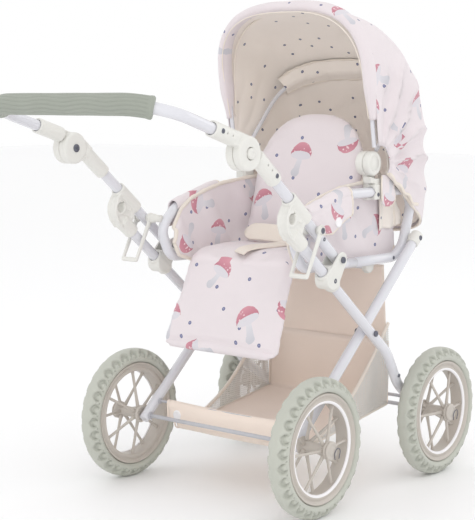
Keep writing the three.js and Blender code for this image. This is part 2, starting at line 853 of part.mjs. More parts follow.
// ---- padded seat ----
// A padded panel that runs from a pivot at an angle; wide and flat, with a rounded far end.
function panelGeometry(pivot, angle, from, to, half, thickness, endRound) {
  const width = new THREE.Shape();
  const steps = 10;
  width.moveTo(from, -half);
  for (let i = 0; i <= steps; i += 1) {
    const a = -Math.PI / 2 + (Math.PI * i) / steps;
    const y = half * Math.sign(Math.sin(a)) * Math.abs(Math.sin(a)) ** (2 / endRound.power);
    width.lineTo(to - endRound.depth + endRound.depth * Math.cos(a) ** (2 / endRound.power), y);
  }
  width.lineTo(from, half);
  width.closePath();
  const geometry = new THREE.ExtrudeGeometry(width, { depth: thickness, bevelEnabled: false });
  geometry.translate(0, 0, -thickness / 2);
  geometry.rotateY(-radians(angle));
  geometry.translate(pivot[0], 0, pivot[1]);
  return geometry;
}

add(
  "backrest",
  panelGeometry(BACKREST_PIVOT, BACKREST_ANGLE, 2, BACKREST_LENGTH, SEAT_HALF - 2, 15, {
    depth: 90,
    power: 2.2,
  }),
  printedFabric,
);
add(
  "leg_rest",
  panelGeometry(LEG_REST_PIVOT, LEG_REST_ANGLE, 4, LEG_REST_LENGTH, SEAT_HALF - 2, 13, {
    depth: 26,
    power: 2.6,
  }),
  printedFabric,
);
add(
  "seat_pad",
  plate(
    [
      [54, 313],
      [160, 313],
      [160, 322],
      [156, 328],
      [58, 328],
      [52, 322],
    ],
    -SEAT_HALF,
    SEAT_HALF,
  ),
  printedFabric,
);

const wing = plate(
  [
    [24, 330],
    [60, 312],
    [262, 322],
    [270, 386],
    [232, 388.5],
    [120, 388.5],
    [50, 372],
    [24, 354],
  ],
  98,
  103.6,
);
addPair("side_wing", wing, printedFabric);

function harnessGeometry() {
  const waist = plate(
    [
      [112, 329],
      [140, 329],
      [140, 332],
      [112, 332],
    ],
    -70,
    70,
  );
  const crotch = plate(
    [
      [62, 329],
      [120, 329],
      [120, 331.6],
      [62, 331.6],
    ],
    -13,
    13,
  );
  return joined(waist, crotch);
}
add("harness", harnessGeometry(), strapWebbing);

// ---- basket ----
const BASKET_HALF = 106;
const BASKET_FRONT = 30;
const BASKET_BACK = 252;
const BASKET_WALL = 3;

function trayGeometry() {
  const floorFront = 66;
  const floorBack = 98;
  const sideTop = 188;
  const outer = plate(
    [
      [BASKET_FRONT + 10, floorFront],
      [BASKET_BACK, floorBack],
      [BASKET_BACK, sideTop],
      [165, sideTop],
      [100, 140],
      [BASKET_FRONT, 106],
      [BASKET_FRONT, 76],
    ],
    -BASKET_HALF,
    BASKET_HALF,
  );
  const room = plate(
    [
      [BASKET_FRONT + 10 + BASKET_WALL, floorFront + BASKET_WALL + 1],
      [BASKET_BACK - BASKET_WALL, floorBack + BASKET_WALL],
      [BASKET_BACK - BASKET_WALL, sideTop + 20],
      [BASKET_FRONT + BASKET_WALL, sideTop + 20],
      [BASKET_FRONT + BASKET_WALL, 78],
    ],
    -BASKET_HALF + BASKET_WALL,
    BASKET_HALF - BASKET_WALL,
  );
  return cut(outer, room);
}
add("basket", trayGeometry(), basketFabric);
add(
  "basket_back_panel",
  plate(
    [
      [247, 190],
      [250, 190],
      [248, 296],
      [245, 296],
    ],
    -BASKET_HALF + 6,
    BASKET_HALF - 6,
  ),
  basketFabric,
);

// The stroller stands with the middle of its length over the origin.
const REAR_AXLE_X = -45.2;
stroller.position.x = REAR_AXLE_X;

export default stroller;
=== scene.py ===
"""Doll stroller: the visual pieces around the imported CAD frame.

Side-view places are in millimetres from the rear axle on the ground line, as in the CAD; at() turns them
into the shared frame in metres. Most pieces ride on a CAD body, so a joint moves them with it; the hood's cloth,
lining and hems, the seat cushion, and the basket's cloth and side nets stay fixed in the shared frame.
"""
import math
import bmesh
import bpy
import numpy as np
from mathutils import Matrix, Vector, noise


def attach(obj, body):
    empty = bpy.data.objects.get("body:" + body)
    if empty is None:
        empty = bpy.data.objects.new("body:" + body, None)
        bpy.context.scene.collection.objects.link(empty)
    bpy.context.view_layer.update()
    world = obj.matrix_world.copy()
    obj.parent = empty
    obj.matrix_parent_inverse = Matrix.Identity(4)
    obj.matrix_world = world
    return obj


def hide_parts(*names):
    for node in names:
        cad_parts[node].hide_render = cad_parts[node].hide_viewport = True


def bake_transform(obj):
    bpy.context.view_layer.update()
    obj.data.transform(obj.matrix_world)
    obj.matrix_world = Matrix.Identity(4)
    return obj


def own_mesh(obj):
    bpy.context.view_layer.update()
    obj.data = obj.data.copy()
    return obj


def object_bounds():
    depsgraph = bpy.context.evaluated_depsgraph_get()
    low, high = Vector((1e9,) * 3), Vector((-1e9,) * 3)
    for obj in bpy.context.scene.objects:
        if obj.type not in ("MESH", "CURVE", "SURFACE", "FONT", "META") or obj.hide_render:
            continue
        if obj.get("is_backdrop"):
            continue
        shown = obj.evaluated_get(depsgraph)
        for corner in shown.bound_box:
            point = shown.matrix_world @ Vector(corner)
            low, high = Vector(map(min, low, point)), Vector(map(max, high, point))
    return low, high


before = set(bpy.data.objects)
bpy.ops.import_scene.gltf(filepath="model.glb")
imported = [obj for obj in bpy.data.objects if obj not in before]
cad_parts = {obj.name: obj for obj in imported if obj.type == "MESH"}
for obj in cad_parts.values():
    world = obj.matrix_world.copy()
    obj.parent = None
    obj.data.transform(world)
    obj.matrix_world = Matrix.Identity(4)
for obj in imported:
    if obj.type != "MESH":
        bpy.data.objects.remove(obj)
CAD_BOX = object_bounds()

# ---------------------------------------------------------------- sizes from the CAD, in millimetres
REAR_AXLE_X = -45.2
TUBE_R = 7.0
HANDLE_Y = 143.4
REAR_LEG_Y = 129.0
FRONT_LEG_FOOT_Y = 128.3
LOOP_Y = 112.0
WHEEL_Y = 159.6
WHEEL_R = 90.0
WHEELBASE = 292.0
FOLD_PIVOT = (62.0, 322.4)
HANDLE_TILT = math.radians(38.9)
STUB_OFFSET = 29.6
SEAT_PIVOT_ALONG = 65.7
LEG_CROSSING = (146.0, 216.5)
REAR_LEG_TOP = (283.0, 339.0)
SEAT_REAR_PIVOT = (278.0, 334.5)
KNUCKLE = (-130.5, 462.4)
KNUCKLE_R = 20.5
KNUCKLE_HALF = 11.8
KNUCKLE_OFFSET = 12.0
UPPER_TILT = math.radians(16.5)
GRIP_X = -278.0
GRIP_CORNER_R = 55.0
GRIP_TURN = 42.0
HOOD_PIVOT = (185.0, 441.0)
HOOD_DISC_R = 16.5
HOOD_SHOULDER = 115.0
HOOD_ROUNDNESS = 2.8
RAIL_Z = 401.5
RUN_Z = 308.5
BACKREST_PIVOT = (172.0, 326.0)
BACKREST_ANGLE = math.radians(74.5)
LEG_REST_PIVOT = (46.0, 306.0)
LEG_REST_ANGLE = math.radians(248.0)
SIDES = (("left", 1), ("right", -1))


def at(x, y, z):
    """A place in the shared frame, in metres, from millimetres measured from the rear axle."""
    return Vector((x + REAR_AXLE_X, y, z)) / 1000.0


def across(place, y=0.0):
    """A side-view place (x, z) carried to y, in the shared frame."""
    return at(place[0], y, place[1])


def on_handle(along, down=0.0):
    """Side-view place from the fold pivot: along the handle tube and down from it."""
    c, s = math.cos(HANDLE_TILT), math.sin(HANDLE_TILT)
    return (FOLD_PIVOT[0] - along * c - down * s, FOLD_PIVOT[1] + along * s - down * c)


def smoothstep(a, b, x):
    """0 up to a and 1 from b on, for a number or an array."""
    t = np.clip((np.asarray(x, float) - a) / (b - a), 0, 1)
    return t * t * (3 - 2 * t)


def signed_power(value, power):
    return math.copysign(abs(value) ** power, value)


# ---------------------------------------------------------------- mesh helpers
def mesh_object(name, verts, faces, material=None, smooth=True, fix=True):
    mesh = bpy.data.meshes.new(name)
    mesh.from_pydata([tuple(v) for v in verts], [], [tuple(f) for f in faces])
    mesh.update()
    if fix:
        bm = bmesh.new()
        bm.from_mesh(mesh)
        bmesh.ops.remove_doubles(bm, verts=bm.verts, dist=1e-7)
        bmesh.ops.recalc_face_normals(bm, faces=bm.faces)
        bm.to_mesh(mesh)
        bm.free()
    if smooth:
        mesh.shade_smooth()
    obj = bpy.data.objects.new(name, mesh)
    bpy.context.scene.collection.objects.link(obj)
    if material:
        mesh.materials.append(material)
    return obj


def bake(obj):
    """Applies the modifiers of obj to its mesh."""
    graph = bpy.context.evaluated_depsgraph_get()
    graph.update()
    mesh = bpy.data.meshes.new_from_object(obj.evaluated_get(graph))
    old = obj.data
    obj.modifiers.clear()
    obj.data = mesh
    mesh.name = obj.name
    bpy.data.meshes.remove(old)
    return obj


def modify(obj, kind, **values):
    modifier = obj.modifiers.new(kind.lower(), kind)
    for key, value in values.items():
        setattr(modifier, key, value)
    return obj


def join(name, parts, material=None):
    """One object from several, which are used up."""
    verts, faces = [], []
    for part in parts:
        base = len(verts)
        verts += [part.matrix_world @ v.co for v in part.data.vertices]
        faces += [[base + i for i in p.vertices] for p in part.data.polygons]
        discard(part)
    return mesh_object(name, verts, faces, material, fix=False)


def discard(obj):
    mesh = obj.data
    bpy.data.objects.remove(obj)
    bpy.data.meshes.remove(mesh)


def grid_faces(rows, columns, wrap_rows=False, wrap_columns=False, base=0):
    faces = []
    for i in range(rows if wrap_rows else rows - 1):
        for j in range(columns if wrap_columns else columns - 1):
            a, b = i, (i + 1) % rows
            c, d = j, (j + 1) % columns
            faces.append((base + a * columns + c, base + b * columns + c,
                          base + b * columns + d, base + a * columns + d))
    return faces


def lathe(name, profile, centre, material=None, side=1, segments=48):
    """A piece turned about Y. The profile is (radius, outwards) in millimetres from centre, to one side."""
    verts = []
    for i in range(segments):
        a = 2 * math.pi * i / segments
        for r, out in profile:
            verts.append(centre + Vector((r * math.cos(a) / 1000, side * out / 1000, r * math.sin(a) / 1000)))
    return mesh_object(name, verts, grid_faces(segments, len(profile), True), material)


def turned(name, profile, start, direction, material=None, segments=40):
    """A turned piece along any direction; the profile is (radius, along) in millimetres."""
    turn = direction.to_track_quat("Z", "Y").to_matrix()
    verts = []
    for i in range(segments):
        a = 2 * math.pi * i / segments
        for r, along in profile:
            verts.append(start + turn @ Vector((r * math.cos(a), r * math.sin(a), along)) / 1000)
    return mesh_object(name, verts, grid_faces(segments, len(profile), True), material)


def rod(name, start, end, radius, material=None, round_end=0.8, segments=32):
    """A round bar with softened ends, between two points in metres."""
    length = (end - start).length * 1000
    e = min(round_end, radius * 0.9)
    profile = [(0, 0), (radius - e, 0), (radius - e * 0.3, e * 0.3), (radius, e)]
    profile += [(radius, length - e), (radius - e * 0.3, length - e * 0.3), (radius - e, length), (0, length)]
    return turned(name, profile, start, end - start, material, segments)


def arc_lengths(path):
    steps = [0.0]
    for a, b in zip(path, path[1:]):
        steps.append(steps[-1] + (b - a).length)
    return steps


def dense(path, step):
    """The same path with places no more than about a step apart, in metres."""
    places = [path[0]]
    for a, b in zip(path, path[1:]):
        count = max(1, int((b - a).length / step))
        places += [a.lerp(b, (k + 1) / count) for k in range(count)]
    return places


def sweep(name, path, section, material=None, up=Vector((0, 1, 0)), caps=True):
    """A section carried along a path. section(s, share) gives (across, above) offsets in metres."""
    rows, lengths = [], arc_lengths(path)
    for i, p in enumerate(path):
        tangent = (path[min(i + 1, len(path) - 1)] - path[max(i - 1, 0)]).normalized()
        side = tangent.cross(up)
        side = side.normalized() if side.length > 1e-6 else Vector((1, 0, 0))
        above = side.cross(tangent).normalized()
        rows.append([p + side * a + above * b for a, b in section(lengths[i], lengths[i] / lengths[-1])])
    columns = len(rows[0])
    verts = [v for row in rows for v in row]
    faces = grid_faces(len(rows), columns, False, True)
    if caps:
        faces.append(tuple(reversed(range(columns))))
        faces.append(tuple(range((len(rows) - 1) * columns, len(rows) * columns)))
    return mesh_object(name, verts, faces, material)


def circle(radius, sides):
    return [(radius * math.cos(2 * math.pi * i / sides), radius * math.sin(2 * math.pi * i / sides))
            for i in range(sides)]


def tube(name, path, radius, material=None, up=Vector((0, 1, 0)), sides=24, round_end=0.0009):
    """A round tube along a path in metres, radius in millimetres, with slightly closed-in ends."""
    total = arc_lengths(path)[-1]

    def section(s, share):
        edge = min(s, total - s)
        shrink = 0.0 if edge > round_end else (1 - math.sqrt(max(0, 1 - (1 - edge / round_end) ** 2))) * 0.5
        return circle(radius / 1000 * (1 - shrink), sides)

    places = dense(path, 0.03)
    first = (places[1] - places[0]).normalized()
    last = (places[-2] - places[-1]).normalized()
    starts = [places[0] + first * round_end * k / 3 for k in range(4)]
    ends = [places[-1] + last * round_end * (3 - k) / 3 for k in range(4)]
    return sweep(name, starts + places[1:-1] + ends, section, material, up)


def rounded(corners):
    """A path whose corners are rounded; each corner is (x, y, z, reach) in millimetres."""
    steps = 10
    path = [at(*corners[0][:3])]
    for i in range(1, len(corners) - 1):
        here = at(*corners[i][:3])
        reach = corners[i][3] / 1000
        start = here + (at(*corners[i - 1][:3]) - here).normalized() * reach
        end = here + (at(*corners[i + 1][:3]) - here).normalized() * reach
        for k in range(steps + 1):
            t = k / steps
            path.append(start * (1 - t) ** 2 + here * 2 * t * (1 - t) + end * t * t)
    path.append(at(*corners[-1][:3]))
    return path


def prism(outline, y0, y1):
    """A plate in the side view, between two y values, all in millimetres."""
    n = len(outline)
    verts = [at(x, y, z) for y in (y0, y1) for x, z in outline]
    faces = [tuple(range(n)), tuple(reversed(range(n, 2 * n)))]
    faces += [(i, (i + 1) % n, n + (i + 1) % n, n + i) for i in range(n)]
    return mesh_object("plate", verts, faces, smooth=False)


def cross_rod(place, radius, y0, y1):
    return rod("pin", across(place, y0), across(place, y1), radius, None, 0.3, 40)


def strap_outline(a, ra, b, rb):
    """The outline of a bar between two round ends, of radius ra about a and rb about b."""
    steps = 12
    heading = math.atan2(b[1] - a[1], b[0] - a[0])
    lean = math.acos((ra - rb) / math.hypot(b[0] - a[0], b[1] - a[1]))
    points = []
    for (cx, cz), r, start, end in ((b, rb, heading - lean, heading + lean),
                                    (a, ra, heading + lean, heading + 2 * math.pi - lean)):
        for i in range(steps + 1):
            t = start + (end - start) * i / steps
            points.append((cx + r * math.cos(t), cz + r * math.sin(t)))
    return points


def remesh(obj, voxel, rounds=0):
    """One closed skin of even faces, softened by rounds of smoothing."""
    modify(obj, "REMESH", mode="VOXEL", voxel_size=voxel, use_smooth_shade=True)
    if rounds:
        modify(obj, "SMOOTH", factor=0.5, iterations=rounds)
    return bake(obj)


def moulded(name, parts, cutters, material, voxel=0.0008, rounds=5):
    """A plastic moulding: parts run together, cutters taken away, every edge softened."""
    whole = join(name, parts)
    remesh(whole, voxel)
    if cutters:
        tool = join("tool", cutters)
        remesh(tool, voxel * 0.8)
        modify(whole, "BOOLEAN", operation="DIFFERENCE", object=tool, solver="EXACT")
        bake(whole)
        discard(tool)
    remesh(whole, voxel, rounds)
    whole.data.shade_smooth()
    whole.data.materials.clear()
    whole.data.materials.append(material)
    return whole


def cloth_layer(mesh):
    return mesh.uv_layers.get("cloth") or mesh.uv_layers.new(name="cloth")


def set_uv(obj, place):
    """Stores each corner's place on the cloth, in metres, as the piece's UV map."""
    mesh = obj.data
    layer = cloth_layer(mesh)
    co = np.array([v.co for v in mesh.vertices], float).reshape(-1, 3)
    uv = place(co)
    loops = np.empty(len(mesh.loops), np.int32)
    mesh.loops.foreach_get("vertex_index", loops)
    layer.data.foreach_set("uv", uv[loops].astype(np.float32).ravel())
    return obj


def side_uv(obj):
    return set_uv(obj, lambda co: np.stack([co[:, 0], co[:, 2]], axis=1))


# ---------------------------------------------------------------- materials
def srgb(r, g, b):
    """A colour given in 0..255, as the linear one that shaders take."""
    return tuple((c / 12.92 if c <= 0.04045 else ((c + 0.055) / 1.055) ** 2.4)
                 for c in (r / 255, g / 255, b / 255)) + (1.0,)


class Shader:
    """A node material being put together around one Principled shader."""

    def __init__(self, name, **inputs):
        self.material = bpy.data.materials.new(name)
        self.material.use_nodes = True
        self.tree = self.material.node_tree
        self.base = self.tree.nodes["Principled BSDF"]
        for key, value in inputs.items():
            self.base.inputs[key.replace("_", " ")].default_value = value

    def node(self, kind, inputs=None, **props):
        return new_node(self.tree, kind, inputs, **props)

    def link(self, a, b):
        self.tree.links.new(a, b)

    def maths(self, *values):
        return maths(self.tree, *values)

    def mixed(self, *values):
        return mixed(self.tree, *values)

    def vector(self, operation, a, b):
        return self.node("VectorMath", {0: a, 1: b}, operation=operation).outputs[0]

    def mushroom(self, cloth, turn, size, paint):
        """paint with one mushroom over it; cloth is the place measured from the mushroom's middle."""
        group = self.node("Group", node_tree=MUSHROOM)
        for key, value in (("Cloth", cloth), ("Turn", turn), ("Size", size), ("Color", paint)):
            feed(self.tree, group.inputs[key], value)
        return group.outputs[0]


def feed(tree, socket, value):
    """Links a socket to value, or sets it, if value is a constant."""
    if isinstance(value, bpy.types.NodeSocket):
        tree.links.new(value, socket)
    else:
        socket.default_value = value


def new_node(tree, kind, inputs=None, **props):
    n = tree.nodes.new("ShaderNode" + kind)
    for key, value in props.items():
        setattr(n, key, value)
    for key, value in (inputs or {}).items():
        feed(tree, n.inputs[key], value)
    return n


def maths(tree, operation, a, b=0.0, c=None):
    values = (a, b) if c is None else (a, b, c)
    return new_node(tree, "Math", dict(enumerate(values)), operation=operation).outputs[0]


def mixed(tree, share, a, b, blend="MIX"):
    """Colour a, turning to b as share rises; sockets 6, 7 and 2 are the Mix node's colours."""
    return new_node(tree, "Mix", {"Factor": share, 6: a, 7: b}, data_type="RGBA", blend_type=blend).outputs[2]


def shade_of(color, k):
    return tuple(min(1.0, c * k) for c in color[:3]) + (1.0,)


def hard(name, color, rough, bump=0.05, grain=700.0, coat=0.0, metallic=0.0):
    """Paint, plastic or metal: slow colour drift, fine grain in the gloss and bump, and worn edges."""
    s = Shader(name, Metallic=metallic)
    if coat:
        s.base.inputs["Coat Weight"].default_value = coat
        s.base.inputs["Coat Roughness"].default_value = 0.08
    place = s.node("TexCoord").outputs["Object"]
    slow = s.node("TexNoise", {"Vector": place, "Scale": 18.0, "Detail": 4.0})
    fine = s.node("TexNoise", {"Vector": place, "Scale": grain, "Detail": 3.0})
    tint = s.mixed(slow.outputs["Fac"], shade_of(color, 0.93), shade_of(color, 1.05))
    edge = s.node("NewGeometry").outputs["Pointiness"]
    rub = s.node("MapRange", {"Value": edge, "From Min": 0.53, "From Max": 0.62})
    spots = s.node("MapRange", {"Value": fine.outputs["Fac"], "From Min": 0.35, "From Max": 0.65})
    wear = s.maths("MULTIPLY", rub.outputs[0], spots.outputs[0])
    wear = s.maths("MULTIPLY", wear, 0.35)
    tint = s.mixed(wear, tint, shade_of(color, 1.12))
    s.link(tint, s.base.inputs["Base Color"])
    gloss = s.node("MapRange", {"Value": fine.outputs["Fac"], "To Min": rough * 0.82, "To Max": rough * 1.18})
    s.link(gloss.outputs[0], s.base.inputs["Roughness"])
    height = s.node("Bump", {"Strength": bump, "Distance": 0.0004, "Height": fine.outputs["Fac"]})
    s.link(height.outputs[0], s.base.inputs["Normal"])
    return s.material


def rubber(name, color, rough=0.62):
    """Soft foam rubber: matt and speckled, with painted shade that darkens its hollows."""
    s = Shader(name)
    s.base.inputs["Sheen Weight"].default_value = 0.15
    place = s.node("TexCoord").outputs["Object"]
    slow = s.node("TexNoise", {"Vector": place, "Scale": 22.0, "Detail": 5.0})
    cells = s.node("TexVoronoi", {"Vector": place, "Scale": 1400.0})
    tint = s.mixed(slow.outputs["Fac"], shade_of(color, 0.92), shade_of(color, 1.06))
    # painted shade: hollows (low pointiness) are darkened to 0.72 of the colour, in place of the shade that falls in
    # them
    hollow = s.node("MapRange", {"Value": s.node("NewGeometry").outputs["Pointiness"],
                                 "From Min": 0.38, "From Max": 0.5})
    tint = s.mixed(hollow.outputs[0], shade_of(color, 0.72), tint)
    s.link(tint, s.base.inputs["Base Color"])
    gloss = s.node("MapRange", {"Value": cells.outputs["Distance"], "To Min": rough - 0.06, "To Max": rough + 0.08})
    s.link(gloss.outputs[0], s.base.inputs["Roughness"])
    height = s.node("Bump", {"Strength": 0.12, "Distance": 0.0004, "Height": cells.outputs["Distance"]})
    s.link(height.outputs[0], s.base.inputs["Normal"])
    return s.material


def mushroom_group():
    """Lays one painted mushroom over a colour: Place is its middle on the cloth, Size its height."""
    tree = bpy.data.node_groups.new("mushroom", "ShaderNodeTree")
    face = tree.interface
    for label, kind in (("Cloth", "NodeSocketVector"), ("Turn", "NodeSocketFloat"), ("Size", "NodeSocketFloat"),
                        ("Color", "NodeSocketColor")):
        face.new_socket(label, in_out="INPUT", socket_type=kind)
    face.new_socket("Color", in_out="OUTPUT", socket_type="NodeSocketColor")
    start = tree.nodes.new("NodeGroupInput")
    end = tree.nodes.new("NodeGroupOutput")
    turned_to = new_node(tree, "VectorRotate", {"Vector": start.outputs["Cloth"], "Angle": start.outputs["Turn"]},
                         rotation_type="Z_AXIS")
    axes = new_node(tree, "SeparateXYZ", {"Vector": turned_to.outputs[0]})
    x = maths(tree, "DIVIDE", axes.outputs[0], start.outputs["Size"])
    y = maths(tree, "DIVIDE", axes.outputs[1], start.outputs["Size"])
    wobble = new_node(tree, "TexNoise", {"Vector": start.outputs["Cloth"], "Scale": 160.0, "Detail": 1.0})
    x = maths(tree, "ADD", x, maths(tree, "MULTIPLY_ADD", wobble.outputs["Fac"], 0.06, -0.03))

    def ellipse(cx, cy, rx, ry):
        a = maths(tree, "DIVIDE", maths(tree, "SUBTRACT", x, cx), rx)
        b = maths(tree, "DIVIDE", maths(tree, "SUBTRACT", y, cy), ry)
        return maths(tree, "ADD", maths(tree, "MULTIPLY", a, a), maths(tree, "MULTIPLY", b, b))

    def inside(value, limit=1.0):
        return maths(tree, "LESS_THAN", value, limit)

    below = maths(tree, "SUBTRACT", 0.16, y)
    bend = maths(tree, "MULTIPLY", maths(tree, "MULTIPLY", below, below), 0.22)
    width = maths(tree, "MULTIPLY_ADD", below, 0.10, 0.062)
    off = maths(tree, "ABSOLUTE", maths(tree, "SUBTRACT", x, bend))
    stem = maths(tree, "MULTIPLY", maths(tree, "LESS_THAN", off, width), maths(tree, "GREATER_THAN", below, 0.0))
    stem = maths(tree, "MULTIPLY", stem, maths(tree, "GREATER_THAN", y, -0.40))
    foot = inside(ellipse(0.075, -0.38, 0.132, 0.125))
    stem = maths(tree, "MAXIMUM", stem, foot)
    dome = inside(ellipse(0.0, 0.10, 0.345, 0.37))
    dome = maths(tree, "MULTIPLY", dome, maths(tree, "GREATER_THAN", y, 0.10))
    gills = inside(ellipse(0.0, 0.10, 0.335, 0.12))
    spots = new_node(tree, "TexVoronoi", {"Vector": start.outputs["Cloth"], "Scale": 210.0, "Randomness": 0.75})
    spot = maths(tree, "MULTIPLY", inside(spots.outputs["Distance"], 0.33), dome)
    stem_tone = mixed(tree, maths(tree, "MULTIPLY", below, 1.5), srgb(230, 227, 232), srgb(203, 202, 209))
    color = mixed(tree, stem, start.outputs["Color"], stem_tone)
    blush = mixed(tree, maths(tree, "MULTIPLY_ADD", y, 2.2, -0.25), srgb(193, 120, 137), srgb(220, 160, 172))
    color = mixed(tree, dome, color, blush)
    color = mixed(tree, maths(tree, "MULTIPLY", spot, 0.8), color, srgb(246, 226, 230))
    color = mixed(tree, gills, color, srgb(222, 218, 224))
    tree.links.new(color, end.inputs["Color"])
    return tree


MUSHROOM = mushroom_group()


def fabric(name, color, marks=(), field=None, dots=None, thread=0.0009, weave=0.35, net=False):
    """Woven cloth. marks are (u, v, turn in degrees, size) on the cloth in metres.

    field (cell, size, seed) scatters one mushroom per square cell; dots are (pitch, radius, colour).
    """
    rough = 0.85
    s = Shader(name)
    s.base.inputs["Sheen Weight"].default_value = 0.25
    s.base.inputs["Sheen Roughness"].default_value = 0.5
    cloth = s.node("UVMap", uv_map="cloth").outputs[0]
    slow = s.node("TexNoise", {"Vector": cloth, "Scale": 16.0, "Detail": 3.0})
    fuzz = s.node("TexNoise", {"Vector": cloth, "Scale": 900.0, "Detail": 2.0})
    paint = s.mixed(slow.outputs["Fac"], shade_of(color, 0.95), shade_of(color, 1.03))
    if dots:
        pitch, radius, tone = dots
        cells = s.node("TexVoronoi", {"Vector": cloth, "Scale": 1 / pitch, "Randomness": 0.85},
                       voronoi_dimensions="2D")
        dot = s.maths("LESS_THAN", cells.outputs["Distance"], radius / pitch)
        eye = s.maths("LESS_THAN", cells.outputs["Distance"], radius / pitch * 0.36)
        parts = s.node("SeparateColor", {"Color": cells.outputs["Color"]})
        kept = s.maths("LESS_THAN", parts.outputs[0], 0.62)
        paint = s.mixed(s.maths("MULTIPLY", dot, kept), paint, tone)
        paint = s.mixed(s.maths("MULTIPLY", s.maths("MULTIPLY", eye, kept), 0.45), paint, srgb(205, 205, 228))
    if field:
        cell, size, seed = field
        shifted = s.vector("ADD", cloth, (seed, seed * 0.7, 0.0))
        scaled = s.vector("MULTIPLY", shifted, (1 / cell, 1 / cell, 0.0))
        corner = s.node("VectorMath", {0: scaled}, operation="FLOOR").outputs[0]
        local = s.vector("SUBTRACT", scaled, corner)
        chance = s.node("TexWhiteNoise", {"Vector": corner}, noise_dimensions="2D")
        jitter = s.vector("MULTIPLY", chance.outputs["Color"], (0.34, 0.34, 0.0))
        middle = s.vector("ADD", jitter, (0.33, 0.33, 0.0))
        metres = s.vector("MULTIPLY", s.vector("SUBTRACT", local, middle), (cell, cell, 0.0))
        turn = s.maths("MULTIPLY_ADD", chance.outputs["Value"], 3.4, -1.7)
        paint = s.mushroom(metres, turn, size, paint)
    for u, v, turn, size in marks:
        paint = s.mushroom(s.vector("SUBTRACT", cloth, (u, v, 0.0)), math.radians(turn), size, paint)
    axes = s.node("SeparateXYZ", {"Vector": cloth})
    warp, weft = (s.maths("SINE", s.maths("MULTIPLY", axes.outputs[i], 2 * math.pi / thread)) for i in (0, 1))
    cross = s.maths("ADD", s.maths("MULTIPLY", warp, weft), fuzz.outputs["Fac"])
    tone = s.node("MapRange", {"Value": cross, "From Min": -1.0, "From Max": 2.0, "To Min": 0.965, "To Max": 1.02})
    paint = s.mixed(1.0, paint, tone.outputs[0], "MULTIPLY")
    s.link(paint, s.base.inputs["Base Color"])
    gloss = s.node("MapRange", {"Value": fuzz.outputs["Fac"], "To Min": rough - 0.08, "To Max": rough + 0.08})
    s.link(gloss.outputs[0], s.base.inputs["Roughness"])
    height = s.node("Bump", {"Strength": weave, "Distance": 0.0003, "Height": cross})
    s.link(height.outputs[0], s.base.inputs["Normal"])
    if net:
        cells = s.node("TexVoronoi", {"Vector": cloth, "Scale": 330.0, "Randomness": 0.12},
                       voronoi_dimensions="2D", feature="DISTANCE_TO_EDGE")
        strands = s.maths("LESS_THAN", cells.outputs["Distance"], 0.19)
        s.link(strands, s.base.inputs["Alpha"])
    return s.material


PAINT = hard("white_lacquer", srgb(219, 219, 225), 0.24, bump=0.04, grain=260.0, coat=0.5)
PLASTIC = hard("off_white_plastic", srgb(226, 225, 220), 0.42, bump=0.08)
BEIGE = hard("warm_grey_plastic", srgb(196, 189, 181), 0.45, bump=0.08)
STEEL = hard("screw_steel", srgb(112, 114, 124), 0.34, bump=0.1, metallic=0.85)
GREY_ROD = hard("grey_lacquer", srgb(186, 186, 192), 0.3, bump=0.05, coat=0.3)
TYRE = rubber("sage_rubber", srgb(189, 191, 181))
GRIP = rubber("sage_foam", srgb(156, 161, 151), 0.7)
DOT_TONE = srgb(112, 116, 152)
CLOTH_TONE = srgb(233, 224, 227)
BINDING = fabric("cream_binding", srgb(245, 235, 224), thread=0.0007, weave=0.5)
LINING = fabric("dotted_lining", srgb(248, 240, 232), dots=(0.030, 0.0021, srgb(98, 102, 128)))
BASKET = fabric("peach_cloth", srgb(247, 232, 220), weave=0.3)
NET = fabric("white_net", srgb(232, 230, 226), net=True)
SNAP = hard("snap_plastic", srgb(244, 242, 244), 0.3)


def carried(material, *nodes):
    """CAD nodes that stay in the picture with a better finish."""
    for name in nodes:
        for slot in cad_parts[name].material_slots:
            slot.material = material


def place(obj, body, slot, *nodes):
    """Puts a piece on a CAD body, in place of the nodes named; slot is not used."""
    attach(obj, body)
    if nodes:
        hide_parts(*nodes)
    return obj


def copy_of(obj, name):
    twin = bpy.data.objects.new(name, obj.data)
    bpy.context.scene.collection.objects.link(twin)
    return twin


# ---------------------------------------------------------------- screws and small hardware
def screw_mesh():
    """A domed screw head with a cross recess, facing +Z, 1 unit = its radius."""
    rings, segments = 14, 48
    verts = [(0, 0, 0.1)]
    for i in range(1, rings + 1):
        r = i / rings
        for j in range(segments):
            a = 2 * math.pi * j / segments
            x, y = r * math.cos(a), r * math.sin(a)
            z = 0.38 * math.sqrt(max(0.0, 1 - (r * 0.93) ** 2))
            arm = max(smoothstep(0.19, 0.12, abs(x)), smoothstep(0.19, 0.12, abs(y)))
            z -= 0.26 * float(arm) * float(smoothstep(0.62, 0.5, r))
            verts.append((x, y, z))
    edge = len(verts)
    verts += [(v[0], v[1], -0.35) for v in verts[edge - segments:edge]]
    faces = [(0, 1 + j, 1 + (j + 1) % segments) for j in range(segments)]
    faces += grid_faces(rings + 1, segments, False, True, 1)
    return verts, faces


SCREW = screw_mesh()


def screw(name, centre, direction, radius, body):
    """A screw head on a surface; centre in metres, radius in millimetres."""
    turn = direction.to_track_quat("Z", "Y").to_matrix()
    verts = [centre + turn @ Vector(v) * radius / 1000 for v in SCREW[0]]
    return place(mesh_object(name, verts, SCREW[1], STEEL), body, "steel")


